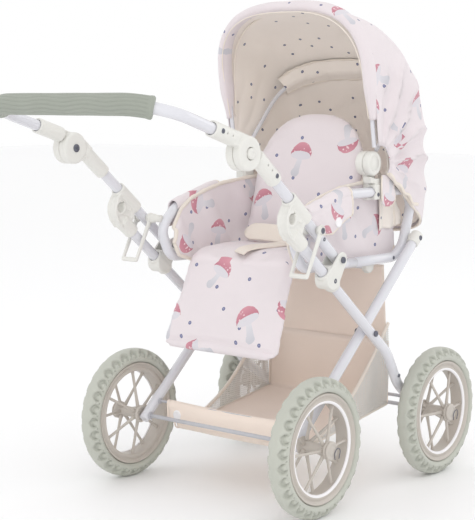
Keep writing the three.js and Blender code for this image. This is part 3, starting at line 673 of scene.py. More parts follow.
# ---------------------------------------------------------------- wheels
def tyre_mesh():
    """A foam tyre with a crescent hollow at each step round both shoulders, and a pinhole between them."""
    steps, around = 29, 29 * 26
    inner = 71.3
    outline = [(inner, -9.0), (inner + 1.0, -12.4), (inner + 3.0, -13.8), (inner + 5.0, -14.4)]
    outline += [(inner + 5 + k * 0.62, -14.4 + 0.02 * k * k) for k in range(1, 13)]
    outline += [(WHEEL_R - 5.0, -11.2), (WHEEL_R - 3.2, -10.0), (WHEEL_R - 1.9, -8.6), (WHEEL_R - 0.9, -6.6),
                (WHEEL_R - 0.3, -4.0), (WHEEL_R, -1.4)]
    outline += [(r, -y) for r, y in reversed(outline)]
    verts = []
    for i in range(around):
        a = 2 * math.pi * i / around
        turn = (a * steps / (2 * math.pi)) % 1.0 - 0.5
        for r, y in outline:
            across = turn * 2 * math.pi * 81 / steps
            high = r - 83.2
            cut = 0.0
            if abs(y) > 3.0 and r > inner + 4:
                bowl = 1 - min(1.0, math.hypot(across / 7.7, high / 6.0))
                ball = 1 - min(1.0, math.hypot((across - 1.2) / 5.2, (high + 2.4) / 3.9))
                hole = 1 - min(1.0, math.hypot((abs(across) - 8.77) / 1.2, (high + 3.6) / 1.2))
                cut = 4.4 * float(smoothstep(0.0, 0.3, bowl)) - 3.9 * float(smoothstep(0.0, 0.45, ball))
                cut = max(0.0, cut) + 1.6 * float(smoothstep(0.0, 0.5, hole))
            y_cut = y - math.copysign(cut, y) * 0.9
            r_cut = r - 0.35 * cut
            verts.append(Vector((r_cut * math.cos(a), y_cut, r_cut * math.sin(a))) / 1000)
    return verts, grid_faces(around, len(outline), True, True)


def wheel_mesh_parts():
    """Rim, spool hub and twelve straight spokes of one wheel, around the origin."""
    o = Vector((0, 0, 0))
    parts = []
    rim = [(59.0, -9.4), (59.8, -10.8), (61.6, -11.4), (63.4, -11.0), (64.2, -9.8), (66.0, -9.4), (67.6, -11.2),
           (69.0, -12.6), (70.4, -12.6), (71.0, -11.4)]
    rim = rim + [(r, -y) for r, y in reversed(rim)]
    rim += [(58.6, 4.0), (58.6, -4.0)]
    rim_verts = []
    segments = 144
    for i in range(segments):
        a = 2 * math.pi * i / segments
        rim_verts += [Vector((r * math.cos(a), y, r * math.sin(a))) / 1000 for r, y in rim]
    parts.append(mesh_object("rim", rim_verts, grid_faces(segments, len(rim), True, True)))
    hub = [(3.4, -22.3), (10.6, -22.3), (12.0, -21.4), (12.0, -19.0), (10.8, -17.8), (8.6, -16.4), (7.4, -12.0),
           (7.0, -4.0), (7.0, 4.0), (7.4, 12.0), (8.6, 16.4), (10.8, 17.8), (12.0, 19.0), (12.0, 21.4), (10.6, 22.3),
           (3.4, 22.3), (3.4, -22.3)]
    parts.append(lathe("hub", hub, o, segments=56))
    for i in range(12):
        a = math.pi * i / 6
        side = 1 if i % 2 == 0 else -1
        start = Vector((8 * math.cos(a), side * 14.3, 8 * math.sin(a))) / 1000
        end = Vector((62 * math.cos(a), side * 3.0, 62 * math.sin(a))) / 1000
        length = (end - start).length * 1000
        profile = [(0, 0), (3.0, 0), (2.5, 4), (2.1, 12), (1.85, length * 0.5), (2.0, length - 9), (2.7, length - 3),
                   (3.4, length), (0, length)]
        parts.append(turned("spoke", profile, start, end - start, segments=16))
    return parts


tyre_verts, tyre_faces = tyre_mesh()
tyre_master = mesh_object("tyre_rubber_rear_left", tyre_verts, tyre_faces, TYRE)
wheel_master = join("wheel_spokes_rear_left", wheel_mesh_parts(), BEIGE)
wheel_master.data.shade_smooth()
modify(wheel_master, "BEVEL", width=0.0003, segments=2, limit_method="ANGLE", angle_limit=math.radians(50))
bake(wheel_master)
for corner, x, side, body, leg_y in (("rear_left", 0.0, 1, "rear_legs", REAR_LEG_Y),
                                     ("rear_right", 0.0, -1, "rear_legs", REAR_LEG_Y),
                                     ("front_left", WHEELBASE, 1, "chassis", FRONT_LEG_FOOT_Y),
                                     ("front_right", WHEELBASE, -1, "chassis", FRONT_LEG_FOOT_Y)):
    centre = at(x, side * WHEEL_Y, WHEEL_R)
    wheel_body = corner.split("_")[0] + "_wheel_" + corner.split("_")[1]
    tyre = tyre_master if corner == "rear_left" else copy_of(tyre_master, f"tyre_rubber_{corner}")
    wheel = wheel_master if corner == "rear_left" else copy_of(wheel_master, f"wheel_spokes_{corner}")
    for obj in (tyre, wheel):
        obj.location = centre
        if side < 0:
            obj.rotation_euler = (0, 0, math.pi)
    place(tyre, wheel_body, "sage_rubber", f"tyre_{corner}")
    place(wheel, wheel_body, "beige_plastic", f"wheel_{corner}")
    lip = lathe(f"rim_ring_{corner}",
                [(57.6, 9.6), (58.6, 10.9), (60.4, 11.5), (61.4, 11.2), (61.4, 9.4), (59.4, 8.2), (57.9, 8.4),
                 (57.6, 9.6)], centre, SNAP, side, 120)
    place(lip, wheel_body, "beige_plastic")
    cap = [(0, -23.3), (8, -23.3), (8, -22.6), (3, -22.6), (3, 22.6), (11.3, 22.6), (12.0, 23.3), (12.0, 24.3),
           (11.2, 25.3), (8.4, 25.9), (7.6, 25.4), (6.8, 25.4), (6.0, 25.9), (2.0, 26.1), (0, 26.1)]
    axle = lathe(f"axle_cap_{corner}", cap, centre, BEIGE, side, 48)
    place(axle, body, "beige_plastic", f"axle_{corner}")
    reach = WHEEL_Y - leg_y
    collar = lathe(f"axle_collar_{corner}", [(3.2, -reach + 7.2), (7.4, -reach + 7.2), (8.4, -reach + 7.8),
                                             (8.4, -24.4), (7.6, -23.5), (3.2, -23.5)], centre, BEIGE, side, 40)
    place(collar, body, "beige_plastic")
    clip = []
    for k in range(33):
        a = math.radians(-60 + 300 * k / 32)
        r = 6.4 if 3 < k < 30 else 6.4 + (3 - min(k, 32 - k)) * 0.9
        clip.append(centre + Vector((0.009 + r * math.cos(a) / 1000 * 0.9, side * (26.9 + 0.7 * math.sin(a)) / 1000,
                                     -0.004 + r * math.sin(a) / 1000)))
    place(tube(f"spring_clip_{corner}", clip, 0.55, STEEL, sides=8, round_end=0.0003), body, "steel")

# ---------------------------------------------------------------- legs, rods, pivots
carried(STEEL, "fold_pin_left", "fold_pin_right", "crossing_rivet_left", "crossing_rivet_right")
stub_top = on_handle(73, STUB_OFFSET)
for name, side in SIDES:
    leg = rounded([(stub_top[0], side * HANDLE_Y, stub_top[1]), (186, side * HANDLE_Y, 184.5, 14),
                   (226, side * 136, 135, 14), (WHEELBASE, side * FRONT_LEG_FOOT_Y, WHEEL_R)])
    place(tube(f"front_leg_tube_{name}", leg, TUBE_R, PAINT), "chassis", "painted_tube", f"front_leg_{name}")
    slope = math.atan2(REAR_LEG_TOP[1] - WHEEL_R, REAR_LEG_TOP[0])
    foot = (-8 * math.cos(slope), WHEEL_R - 8 * math.sin(slope))
    cap_start = (REAR_LEG_TOP[0] - 19 * math.cos(slope), REAR_LEG_TOP[1] - 19 * math.sin(slope))
    tube_top = (cap_start[0] + 8, cap_start[1] + 8 * math.tan(slope))
    rear = tube(f"rear_leg_tube_{name}", [across(foot, side * REAR_LEG_Y),
                                          across(tube_top, side * REAR_LEG_Y)], TUBE_R, PAINT)
    place(rear, "rear_legs", "painted_tube", f"rear_leg_{name}")
    top = across(REAR_LEG_TOP, side * REAR_LEG_Y)
    start = across(cap_start, side * REAR_LEG_Y)
    end_cap = turned(f"rear_leg_cap_{name}", [(7.05, 0), (8.1, 0), (8.5, 0.5), (8.5, 17.6), (8.0, 19.0), (6.6, 20.2),
                                              (3.0, 20.9), (0, 21.0)], start, top - start, PLASTIC)
    place(end_cap, "rear_legs", "white_plastic")
    pivot = SEAT_REAR_PIVOT
    spacer = lathe(f"rear_pivot_spacer_{name}", [(0, 119.7), (5.4, 119.7), (5.8, 120.1), (5.8, 121.8), (4.6, 122.2),
                                                (4.6, 125), (0, 125)], across(pivot), PLASTIC, side, 32)
    place(spacer, "rear_legs", "white_plastic")
    out = Vector((0, side, 0))
    screw(f"leg_cap_screw_{name}", across(pivot, side * (REAR_LEG_Y + 8.2)), out, 3.6, "rear_legs")
    screw(f"crossing_screw_{name}", across(LEG_CROSSING, side * (HANDLE_Y + 8.7)), out, 4.0, "chassis")
    screw(f"front_leg_screw_{name}", at(215, side * (139.6 + 6.2), 149), out, 2.6, "chassis")
    eye = on_handle(0)
    screw(f"fold_screw_{name}", across(eye, side * (HANDLE_Y + 12.1)), out, 4.2, "chassis")
    low = on_handle(-4, STUB_OFFSET)
    screw(f"bracket_screw_{name}", across(low, side * (HANDLE_Y + 10.2)), out, 3.2, "chassis")
for name, node, centre, radius, reach, body in (
        ("rear_axle_bar", "rear_axle_rod", (0, 90), 2.8, 121.6, "rear_legs"),
        ("basket_front_wire", "basket_wire", (20, 107.6), 1.7, 121.6, "rear_legs"),
        ("front_axle_bar", "front_axle_rod", (WHEELBASE, 90), 2.8, 121.0, "chassis"),
        ("basket_rear_bar", "basket_rod", (268, 108), 2.4, 121.0, "chassis")):
    place(rod(name, across(centre, -reach), across(centre, reach), radius, GREY_ROD), body, "painted_tube", node)
    ring_profile = [(radius, reach - 1.6), (radius + 2.2, reach - 1.6), (radius + 2.6, reach - 1.2),
                    (radius + 2.6, reach - 0.2), (radius, reach - 0.2)]
    for side_name, side in SIDES:
        washer = lathe(f"{name}_washer_{side_name}", ring_profile, across(centre), GREY_ROD, side, 32)
        place(washer, body, "painted_tube")


# ---------------------------------------------------------------- plastic mouldings of the handle
def rail_cylinder(a, b, y, radius):
    return rod("sleeve", across(a, y), across(b, y), radius, None, 0.9, 44)


def bulb(centre, radius):
    lift = Vector((0, 0, radius / 1000))
    return rod("dent", centre - lift, centre + lift, radius, None, radius * 0.6, 20)


def ring(middle, y, radius, minor):
    points = []
    count = 40
    for i in range(count + 1):
        a = 2 * math.pi * i / count
        points.append(at(middle[0] + radius * math.cos(a), y, middle[1] + radius * math.sin(a)))
    return sweep("ring", points, lambda s, share: circle(minor / 1000, 10), caps=False)


def bracket(name, side):
    """The clevis that the handle turns in, run together with the sleeve of the front leg."""
    y0, y1 = side * (HANDLE_Y - 10.4), side * (HANDLE_Y + 10.4)
    parts = [prism(strap_outline(on_handle(0), 10.5, on_handle(0, STUB_OFFSET), 14), y0, y1),
             rail_cylinder(on_handle(15, STUB_OFFSET), on_handle(-16, STUB_OFFSET), side * HANDLE_Y, 10.8),
             rail_cylinder(on_handle(-16, STUB_OFFSET), on_handle(-19, STUB_OFFSET), side * HANDLE_Y, 9.2)]
    cutters = [rail_cylinder(on_handle(40, STUB_OFFSET), on_handle(-40, STUB_OFFSET), side * HANDLE_Y, 7.35),
               prism([on_handle(-30, -20), on_handle(30, -20), on_handle(30, 17), on_handle(-30, 17)],
                     side * (HANDLE_Y - 7.6), side * (HANDLE_Y + 7.6))]
    return moulded(name, parts, cutters, PLASTIC)


def knuckle_at(tilt, along, up):
    """Side-view place from the knuckle's axis, along a tube of that tilt and above it."""
    out = (math.cos(tilt), math.sin(tilt))
    lift = (out[1], -out[0]) if tilt > math.pi / 2 else (-out[1], out[0])
    return (KNUCKLE[0] + along * out[0] + up * lift[0], KNUCKLE[1] + along * out[1] + up * lift[1])


def knuckle(name, side, tilt, sleeve_end, y0, y1, outer):
    """Half of an angle knuckle: its disc from y0 to y1, and the sleeve of one tube; the outer half has the button."""
    spot = lambda along, up: knuckle_at(tilt, along, up)
    disc = lathe("disc", [(0, y0), (KNUCKLE_R - 1, y0), (KNUCKLE_R, y0 + 1), (KNUCKLE_R, y1 - 2.2),
                          (KNUCKLE_R - 0.7, y1 - 0.7), (KNUCKLE_R - 2.2, y1), (0, y1)] if outer else
                 [(0, y0), (KNUCKLE_R - 3, y0), (KNUCKLE_R - 1.2, y0 + 0.8), (KNUCKLE_R, y0 + 2.4), (KNUCKLE_R, y1),
                  (0, y1)], across(KNUCKLE), None, side, 72)
    neck_y = (y0, HANDLE_Y + 8.6) if outer else (HANDLE_Y - 8.6, y1)
    parts = [disc, prism([spot(-4, 3), spot(27, 3.0), spot(27, 20.4), spot(-2, 20.6)], side * neck_y[0],
                         side * neck_y[1]),
             rail_cylinder(spot(21, KNUCKLE_OFFSET), spot(sleeve_end, KNUCKLE_OFFSET), side * HANDLE_Y, 10)]
    cutters = [rail_cylinder(spot(28, KNUCKLE_OFFSET), spot(sleeve_end + 12, KNUCKLE_OFFSET), side * HANDLE_Y, 7.5)]
    if outer:
        cutters.append(cross_rod(KNUCKLE, 7.5, side * (y0 - 4), side * (y1 + 4)))
        cutters.append(lathe("groove", [(11.2, y1 - 0.9), (12.3, y1 - 0.9), (12.3, y1 + 2), (11.2, y1 + 2),
                                        (11.2, y1 - 0.9)], across(KNUCKLE), None, side, 60))
    dents = (34, 44) if outer else (38, 48)
    for along in dents:
        x, z = spot(along, KNUCKLE_OFFSET)
        cutters.append(bulb(at(x, side * (HANDLE_Y + 11.2), z), 2.6))
    return moulded(name, parts, cutters, PLASTIC)


def latch(name, side):
    """The latch that slides on the handle tube and holds the front leg's stub, with its ringed finger hole."""
    y = side * HANDLE_Y
    outline = [(90, 0), (129, 0), (129.5, 12), (128, 22), (122.5, 31.5), (112, 37.4), (98, 39.4), (86, 38.5),
               (86, 24), (90, 12)]
    parts = [prism([on_handle(*p) for p in outline], side * (HANDLE_Y - 6.6), side * (HANDLE_Y + 6.6)),
             rail_cylinder(on_handle(88), on_handle(133.4), y, 10),
             rail_cylinder(on_handle(73.6, STUB_OFFSET), on_handle(101, STUB_OFFSET), y, 10.2)]
    bead = [on_handle(*p) for p in [(128, 6), (129.2, 12), (127.6, 22), (122, 31), (111.6, 37), (98, 39)]]
    for off in (-1, 1):
        path = [across(p, y + off * side * 6.4) for p in bead]
        smooth_path = []
        for i in range(len(path) - 1):
            smooth_path += [path[i].lerp(path[i + 1], k / 4) for k in range(4)]
        parts.append(tube("bead", smooth_path + [path[-1]], 2.1, sides=12))
        parts.append(ring(on_handle(118.5, 20.5), y + off * side * 6.6, 8.6, 2.2))
        rib = [across(on_handle(*spot), y + off * side * 6.4) for spot in ((108, 22), (99, 10))]
        parts.append(tube("rib", rib, 1.8, sides=12))
    cutters = [rail_cylinder(on_handle(60), on_handle(150), y, 7.35),
               cross_rod(on_handle(118.5, 20.5), 6.5, side * (HANDLE_Y - 20), side * (HANDLE_Y + 20)),
               prism([on_handle(p, q) for p, q in ((114, 10.6), (123.5, 10.8), (119.5, 13.6))],
                     side * (HANDLE_Y - 20), side * (HANDLE_Y + 20)),
               rail_cylinder(on_handle(60, STUB_OFFSET), on_handle(76.5, STUB_OFFSET), y, 8.0)]
    for off in (-1, 1):
        cutters.append(prism([on_handle(p, q) for p, q in ((92, 15), (104, 14), (109, 20), (106, 25), (92, 19.2))],
                             y + off * side * 5.2, y + off * side * 12))
    return moulded(name, parts, cutters, PLASTIC)


def stirrup(name, side):
    """The stirrup lock: two tapered arms from the seat's front pivot and the bar across them."""
    y = side * HANDLE_Y
    pivot, bar = on_handle(SEAT_PIVOT_ALONG), on_handle(53.2, 61.4)
    parts = []
    for off in (-12.5, 12.5):
        low, high = y + off - 1.9, y + off + 1.9
        parts.append(prism(strap_outline(pivot, 7.4, (pivot[0], pivot[1] - 0.1), 7.3), low, high))
        a, b = across(pivot, y + off), across(bar, y + off)
        direction = (b - a).normalized()
        wide = lambda s, share: [(p * (2.0 - 0.75 * share), q * 0.95) for p, q in circle(0.0021, 20)]
        parts.append(sweep("arm", [a + direction * 0.005, a.lerp(b, 0.4), a.lerp(b, 0.8), b], wide))
    parts.append(rod("bar", across(bar, y - 14.2), across(bar, y + 14.2), 3.2, None, 2.2))
    cutters = [cross_rod(pivot, 5.5, y - 20, y + 20)]
    return moulded(name, parts, cutters, PLASTIC, voxel=0.0007, rounds=3)


for name, side in SIDES:
    out = Vector((0, side, 0))
    place(bracket(f"pivot_clevis_{name}", side), "chassis", "white_plastic", f"pivot_bracket_{name}")
    ends = [across(on_handle(along), side * HANDLE_Y) for along in (-8, 207)]
    lower = tube(f"handle_lower_bar_{name}", ends, TUBE_R, PAINT)
    place(lower, "handle_frame", "painted_tube", f"handle_lower_tube_{name}")
    place(knuckle(f"knuckle_top_{name}", side, math.pi - UPPER_TILT, 64.6, HANDLE_Y + 0.3, HANDLE_Y + KNUCKLE_HALF,
                  True), "handle_top", "white_plastic", f"knuckle_upper_{name}")
    place(knuckle(f"knuckle_bottom_{name}", side, -HANDLE_TILT, 68.6, HANDLE_Y - KNUCKLE_HALF, HANDLE_Y - 0.3,
                  False), "handle_frame", "white_plastic", f"knuckle_lower_{name}")
    face = HANDLE_Y + KNUCKLE_HALF
    button = lathe(f"angle_push_button_{name}",
                   [(0, HANDLE_Y + 4), (6.8, HANDLE_Y + 4), (6.8, face + 0.6), (6.5, face + 1.8), (5.6, face + 2.9),
                    (4.2, face + 3.7), (3.2, face + 3.9), (2.6, face + 3.5), (1.6, face + 3.0), (0, face + 2.9)],
                   across(KNUCKLE), PLASTIC, side, 48)
    place(button, f"button_{name}", "white_plastic", f"angle_button_{name}")
    x, z = knuckle_at(math.pi - UPPER_TILT, 54, KNUCKLE_OFFSET)
    screw(f"upper_sleeve_screw_{name}", at(x, side * (HANDLE_Y + 9.7), z), out, 3.0, "handle_top")
    x, z = knuckle_at(-HANDLE_TILT, 59, KNUCKLE_OFFSET)
    screw(f"lower_sleeve_screw_{name}", at(x, side * (HANDLE_Y + 9.7), z), out, 3.0, "handle_frame")
    screw(f"knuckle_screw_{name}", across(KNUCKLE, side * (HANDLE_Y - KNUCKLE_HALF - 0.2)), -out, 5.2,
          "handle_frame")
    place(latch(f"latch_body_{name}", side), f"latch_{name}", "white_plastic", f"slide_latch_{name}")
    place(stirrup(f"stirrup_loop_{name}", side), f"stirrup_{name}", "white_plastic", f"stirrup_lock_{name}")
    seat_pivot = on_handle(SEAT_PIVOT_ALONG)
    washer = lathe(f"seat_pivot_washer_{name}", [(0, 7.0), (5.2, 7.0), (5.2, 14.0), (4.4, 15.2), (0, 15.4)],
                   across(seat_pivot, side * HANDLE_Y), PLASTIC, side, 36)
    place(washer, "handle_frame", "white_plastic")
    screw(f"seat_pivot_screw_{name}", across(seat_pivot, side * (HANDLE_Y + 15.2)), out, 3.9,
          "handle_frame")
    low = on_handle(46)
    screw(f"tube_screw_{name}", across(low, side * (HANDLE_Y + 6.6)), out, 2.6, "handle_frame")

# ---------------------------------------------------------------- upper handle and grip
upper_out = (-math.cos(UPPER_TILT), math.sin(UPPER_TILT))
upper_lift = (math.sin(UPPER_TILT), math.cos(UPPER_TILT))


def upper_place(along, y):
    return at(KNUCKLE[0] + KNUCKLE_OFFSET * upper_lift[0] + along * upper_out[0], y,
              KNUCKLE[1] + KNUCKLE_OFFSET * upper_lift[1] + along * upper_out[1])


grip_along = (KNUCKLE[0] + KNUCKLE_OFFSET * upper_lift[0] - GRIP_X) / math.cos(UPPER_TILT)


def corner_points(side, start, end, steps):
    points = []
    for i in range(steps + 1):
        a = math.radians(start + (end - start) * i / steps)
        points.append(upper_place(grip_along - GRIP_CORNER_R + GRIP_CORNER_R * math.cos(a),
                                  side * (HANDLE_Y - GRIP_CORNER_R + GRIP_CORNER_R * math.sin(a))))
    return points


handle_up = Vector((upper_lift[0], 0, upper_lift[1]))
handle_path = [upper_place(30, -HANDLE_Y)] + corner_points(-1, 90, 0, 20) + corner_points(1, 0, 90, 20)
handle_path.append(upper_place(30, HANDLE_Y))
place(tube("handle_top_bar", handle_path, TUBE_R, PAINT, up=handle_up), "handle_top", "painted_tube",
      "handle_top_tube")

straight = [corner_points(-1, 0, 0, 1)[0], corner_points(1, 0, 0, 1)[0]]
cross = [straight[0].lerp(straight[1], k / 60) for k in range(1, 60)]
grip_path = corner_points(-1, GRIP_TURN, 0, 26) + cross + corner_points(1, 0, GRIP_TURN, 26)
grip_total = arc_lengths(grip_path)[-1]


def grip_section(s, share):
    """Wavy ribs run the length of the grip, with a plain thicker lip at each end."""
    edge = min(s, grip_total - s) * 1000
    lip = float(smoothstep(7.0, 4.5, edge))
    close = float(smoothstep(0.0, 1.6, edge))
    points = []
    for k in range(96):
        a = 2 * math.pi * k / 96
        wave = 0.5 + 0.5 * math.cos(16 * (a + 0.10 * math.sin(s * 1000 / 11.0)))
        r = 12.9 - 0.95 * (wave ** 1.5) * (1 - lip) + 0.55 * lip
        r = 7.3 + (r - 7.3) * (0.72 + 0.28 * math.sqrt(close))
        points.append((r * math.cos(a) / 1000, r * math.sin(a) / 1000))
    return points


grip = sweep("handle_foam_grip", dense(grip_path, 0.0016), grip_section, GRIP, up=handle_up)
place(grip, "handle_top", "sage_grip", "handle_grip")

# ---------------------------------------------------------------- seat loops, crossbar, hood clamps
knob_middle = at(196, 0, 300)
seat_bar = rod("seat_cross_bar", at(196, -104.7, 300), at(196, 104.7, 300), 5, PAINT)
place(seat_bar, "seat_frame", "painted_tube", "seat_crossbar")


def clamp(name, side):
    """The block that grips the seat's top rail and carries the hood's hinge disc."""
    x = 194.0
    s = lambda v: side * v
    parts = [prism([(x - 10, 391), (x + 10, 391), (x + 10, 413), (x + 6, 430), (x - 12, 430), (x - 10, 413)],
                   s(101.4), s(109.4)),
             prism([(x - 8, 391.5), (x + 8, 391.5), (x + 8, 412), (x - 8, 412)], s(102), s(120.4)),
             prism([(x - 4.5, 409), (x + 9.5, 409), (x + 9.5, 420), (x - 4.5, 420)], s(109), s(118.5)),
             prism([(x - 13, 414), (x - 2, 414), (x - 2, 420), (x - 13, 423)], s(104), s(117)),
             lathe("disc", [(0, 98), (HOOD_DISC_R - 1.5, 98), (HOOD_DISC_R, 99.2), (HOOD_DISC_R, 108.4),
                            (HOOD_DISC_R - 1, 109.4), (0, 109.4)], across(HOOD_PIVOT), None, side, 64)]
    cutters = [rod("bore", at(150, s(LOOP_Y), RAIL_Z), at(240, s(LOOP_Y), RAIL_Z), 7.3),
               lathe("groove", [(HOOD_DISC_R - 1.0, 103.2), (HOOD_DISC_R + 3, 103.2), (HOOD_DISC_R + 3, 104.4),
                                (HOOD_DISC_R - 1.0, 104.4), (HOOD_DISC_R - 1.0, 103.2)],
                     across(HOOD_PIVOT), None, side, 64),
               prism([(x - 20, 400.6), (x - 6, 400.6), (x - 6, 402.4), (x - 20, 402.4)], s(98), s(125))]
    return moulded(name, parts, cutters, PLASTIC, voxel=0.0007, rounds=3)


for name, side in SIDES:
    rear_half = rounded([(150, side * LOOP_Y, RUN_Z), (252, side * LOOP_Y, RUN_Z, 14), (272, side * LOOP_Y, 326, 9),
                         (290, side * LOOP_Y, 380, 10), (278, side * LOOP_Y, RAIL_Z, 10),
                         (150, side * LOOP_Y, RAIL_Z)])
    front_half = rounded([(150, side * LOOP_Y, RAIL_Z), (120, side * LOOP_Y, RAIL_Z, 14),
                          (44, side * LOOP_Y, 381, 16), (10, side * LOOP_Y, 350, 18),
                          (30, side * LOOP_Y, RUN_Z + 2, 14), (150, side * LOOP_Y, RUN_Z)])
    loop = tube(f"seat_loop_tube_{name}", rear_half + front_half[1:], TUBE_R, PAINT, round_end=0.0001)
    place(loop, "seat_frame", "painted_tube", f"seat_loop_{name}")
    seat_pivot = on_handle(SEAT_PIVOT_ALONG)
    stub = lathe(f"seat_pivot_stub_{name}", [(0, LOOP_Y), (5, LOOP_Y), (5, LOOP_Y + 10), (6.2, LOOP_Y + 11),
                                             (6.2, 134.6), (5.4, 136.0), (0, 136.0)],
                 across(seat_pivot), PLASTIC, side, 36)
    place(stub, "seat_frame", "white_plastic")
    out = Vector((0, side, 0))
    screw(f"loop_run_screw_{name}", at(238, side * (LOOP_Y + 6.8), RUN_Z), out, 2.6, "seat_frame")
    place(clamp(f"hood_clamp_block_{name}", side), "seat_frame", "white_plastic", f"hood_clamp_{name}")
    screw(f"hood_clamp_screw_{name}", at(194, side * 120.4, 398.5), out, 2.8, "seat_frame")
    disc = lathe(f"hood_hinge_disc_{name}", [(0, 110), (HOOD_DISC_R - 1.0, 110), (HOOD_DISC_R, 111),
                                             (HOOD_DISC_R, 118.6), (HOOD_DISC_R - 1.2, 120.0),
                                             (HOOD_DISC_R - 3.6, 120.5), (11.0, 120.5), (10.4, 119.8), (9.6, 119.8),
                                             (9.0, 120.5), (0, 120.5)],
                 across(HOOD_PIVOT), PLASTIC, side, 64)
    place(disc, "hood_front", "white_plastic", f"hood_disc_{name}")
    knob = lathe(f"seat_knob_{name}", [(0, 100), (9.4, 100), (9.8, 101), (9.8, 107), (8.8, 108), (0, 108)],
                 knob_middle, PLASTIC, side, 40)
    for v in knob.data.vertices:
        dx, dz = v.co.x - knob_middle.x, v.co.z - 0.300
        k = 1 + 0.07 * math.cos(10 * math.atan2(dz, dx)) * (math.hypot(dx, dz) > 0.008)
        v.co.x, v.co.z = knob_middle.x + dx * k, 0.300 + dz * k
    place(knob, "seat_frame", "white_plastic")


# ---------------------------------------------------------------- hood bows
def around_hood(angle, radius):
    a = math.radians(angle)
    return HOOD_PIVOT[0] + radius * math.cos(a), HOOD_PIVOT[1] + radius * math.sin(a)


def arch(angle, half, top, shoulder, foot, steps=48):
    """The places of a bow: straight sides and a rounded top, in a plane through the hood pivot."""
    points = [across(around_hood(angle, foot), -half)]
    for i in range(steps + 1):
        a = math.pi * i / steps
        y = -half * signed_power(math.cos(a), 2 / HOOD_ROUNDNESS)
        radius = shoulder + (top - shoulder) * math.sin(a) ** (2 / HOOD_ROUNDNESS)
        points.append(across(around_hood(angle, radius), y))
    return points + [across(around_hood(angle, foot), half)]


MIDDLE_BOW_TILT = math.radians(48)
MIDDLE_BOW_UP = Vector((-math.sin(MIDDLE_BOW_TILT), 0, math.cos(MIDDLE_BOW_TILT)))
bow_up = Vector((math.cos(math.radians(10)), 0, math.sin(math.radians(10))))
front_bow = tube("hood_front_wire", arch(100, 121, 212, HOOD_SHOULDER, 22), 3, PAINT, up=bow_up, sides=16)
place(front_bow, "hood_front", "painted_tube", "hood_front_bow")
middle_bow = tube("hood_middle_wire", arch(48, 111.5, 172, 92, 22), 3, PAINT, up=MIDDLE_BOW_UP, sides=16)
place(middle_bow, "hood_middle", "painted_tube", "hood_middle_bow")


# ---------------------------------------------------------------- cloth helpers
def grid_object(name, points, *materials, thickness):
    """A sheet from an array of points (rows, columns, 3), thickened into real cloth."""
    rows, columns = points.shape[:2]
    verts = [Vector(p) for p in points.reshape(-1, 3)]
    obj = mesh_object(name, verts, grid_faces(rows, columns), materials[0], fix=False)
    for material in materials[1:]:
        obj.data.materials.append(material)
    modify(obj, "SOLIDIFY", thickness=thickness, offset=0.0, use_rim=True)
    bake(obj)
    obj.data.shade_smooth()
    return obj


def away_from(points, middle):
    """The unit normal at each point of a grid, on the side that faces away from middle."""
    n = np.cross(np.gradient(points, axis=0), np.gradient(points, axis=1))
    n = n / np.maximum(np.linalg.norm(n, axis=2, keepdims=True), 1e-9)
    return -n if float((n * (points - middle)).sum()) < 0 else n


def ripple(x, y, seed, scale):
    """Smooth repeatable noise over two arrays, in -1..1."""
    out = np.empty(np.broadcast(x, y).shape)
    xs, ys = np.broadcast_to(x, out.shape), np.broadcast_to(y, out.shape)
    for index in np.ndindex(out.shape):
        out[index] = noise.noise(Vector((xs[index] / scale, ys[index] / scale, seed)))
    return out


def puff(obj, cap, voxel):
    """Inflates a closed cushion with a short cloth simulation; no point moves further than cap, in metres."""
    frames = 20
    remesh(obj, voxel)
    before = np.array([v.co for v in obj.data.vertices], float)
    modifier = obj.modifiers.new("cloth", "CLOTH")
    settings = modifier.settings
    settings.quality = 5
    settings.mass = 0.25
    settings.tension_stiffness = 18
    settings.compression_stiffness = 18
    settings.bending_stiffness = 0.6
    settings.use_pressure = True
    settings.uniform_pressure_force = 4.0
    settings.effector_weights.gravity = 0
    modifier.point_cache.frame_start = 1
    modifier.point_cache.frame_end = frames
    for f in range(1, frames + 1):
        bpy.context.scene.frame_set(f)
    bake(obj)
    bpy.context.scene.frame_set(1)
    after = np.array([v.co for v in obj.data.vertices], float)
    step = after - before
    size = np.linalg.norm(step, axis=1, keepdims=True)
    after = before + step * np.minimum(1.0, cap / np.maximum(size, 1e-9))
    obj.data.vertices.foreach_set("co", after.astype(np.float32).ravel())
    obj.data.update()
    modify(obj, "SMOOTH", factor=0.5, iterations=2)
    modify(obj, "SUBSURF", levels=1, render_levels=1)
    bake(obj)
    obj.data.shade_smooth()
    return obj


def push(obj, offset):
    """Moves the vertices of obj by offset(co), an array of shifts in metres."""
    co = np.array([v.co for v in obj.data.vertices], float)
    co = co + offset(co)
    obj.data.vertices.foreach_set("co", co.astype(np.float32).ravel())
    obj.data.update()


def welt(name, path, radius, material, body, up=Vector((0, 1, 0)), pinch=0.3):
    """A bound or piped edge that follows a path, a little uneven as sewn cloth is.

    Without a body it is left in the shared frame.
    """
    def section(s, share):
        k = 1 + pinch * noise.noise(Vector((s * 90, radius, 3.1)))
        return [(a * k, b * k) for a, b in circle(radius / 1000, 10)]

    obj = sweep(name, dense(path, 0.004), section, material, up)
    set_uv(obj, lambda co: np.stack([co[:, 0] + co[:, 1], co[:, 2] + co[:, 1]], axis=1))
    if body:
        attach(obj, body)
    return obj


def snap(name, centre, direction, body):
    button = turned(name, [(0, -1.2), (6.2, -1.2), (6.8, -0.6), (6.8, 0.5), (6.2, 1.2), (4.4, 1.5), (3.8, 1.2),
                           (0, 1.1)], centre, direction, SNAP, 32)
    return place(button, body, "white_plastic")


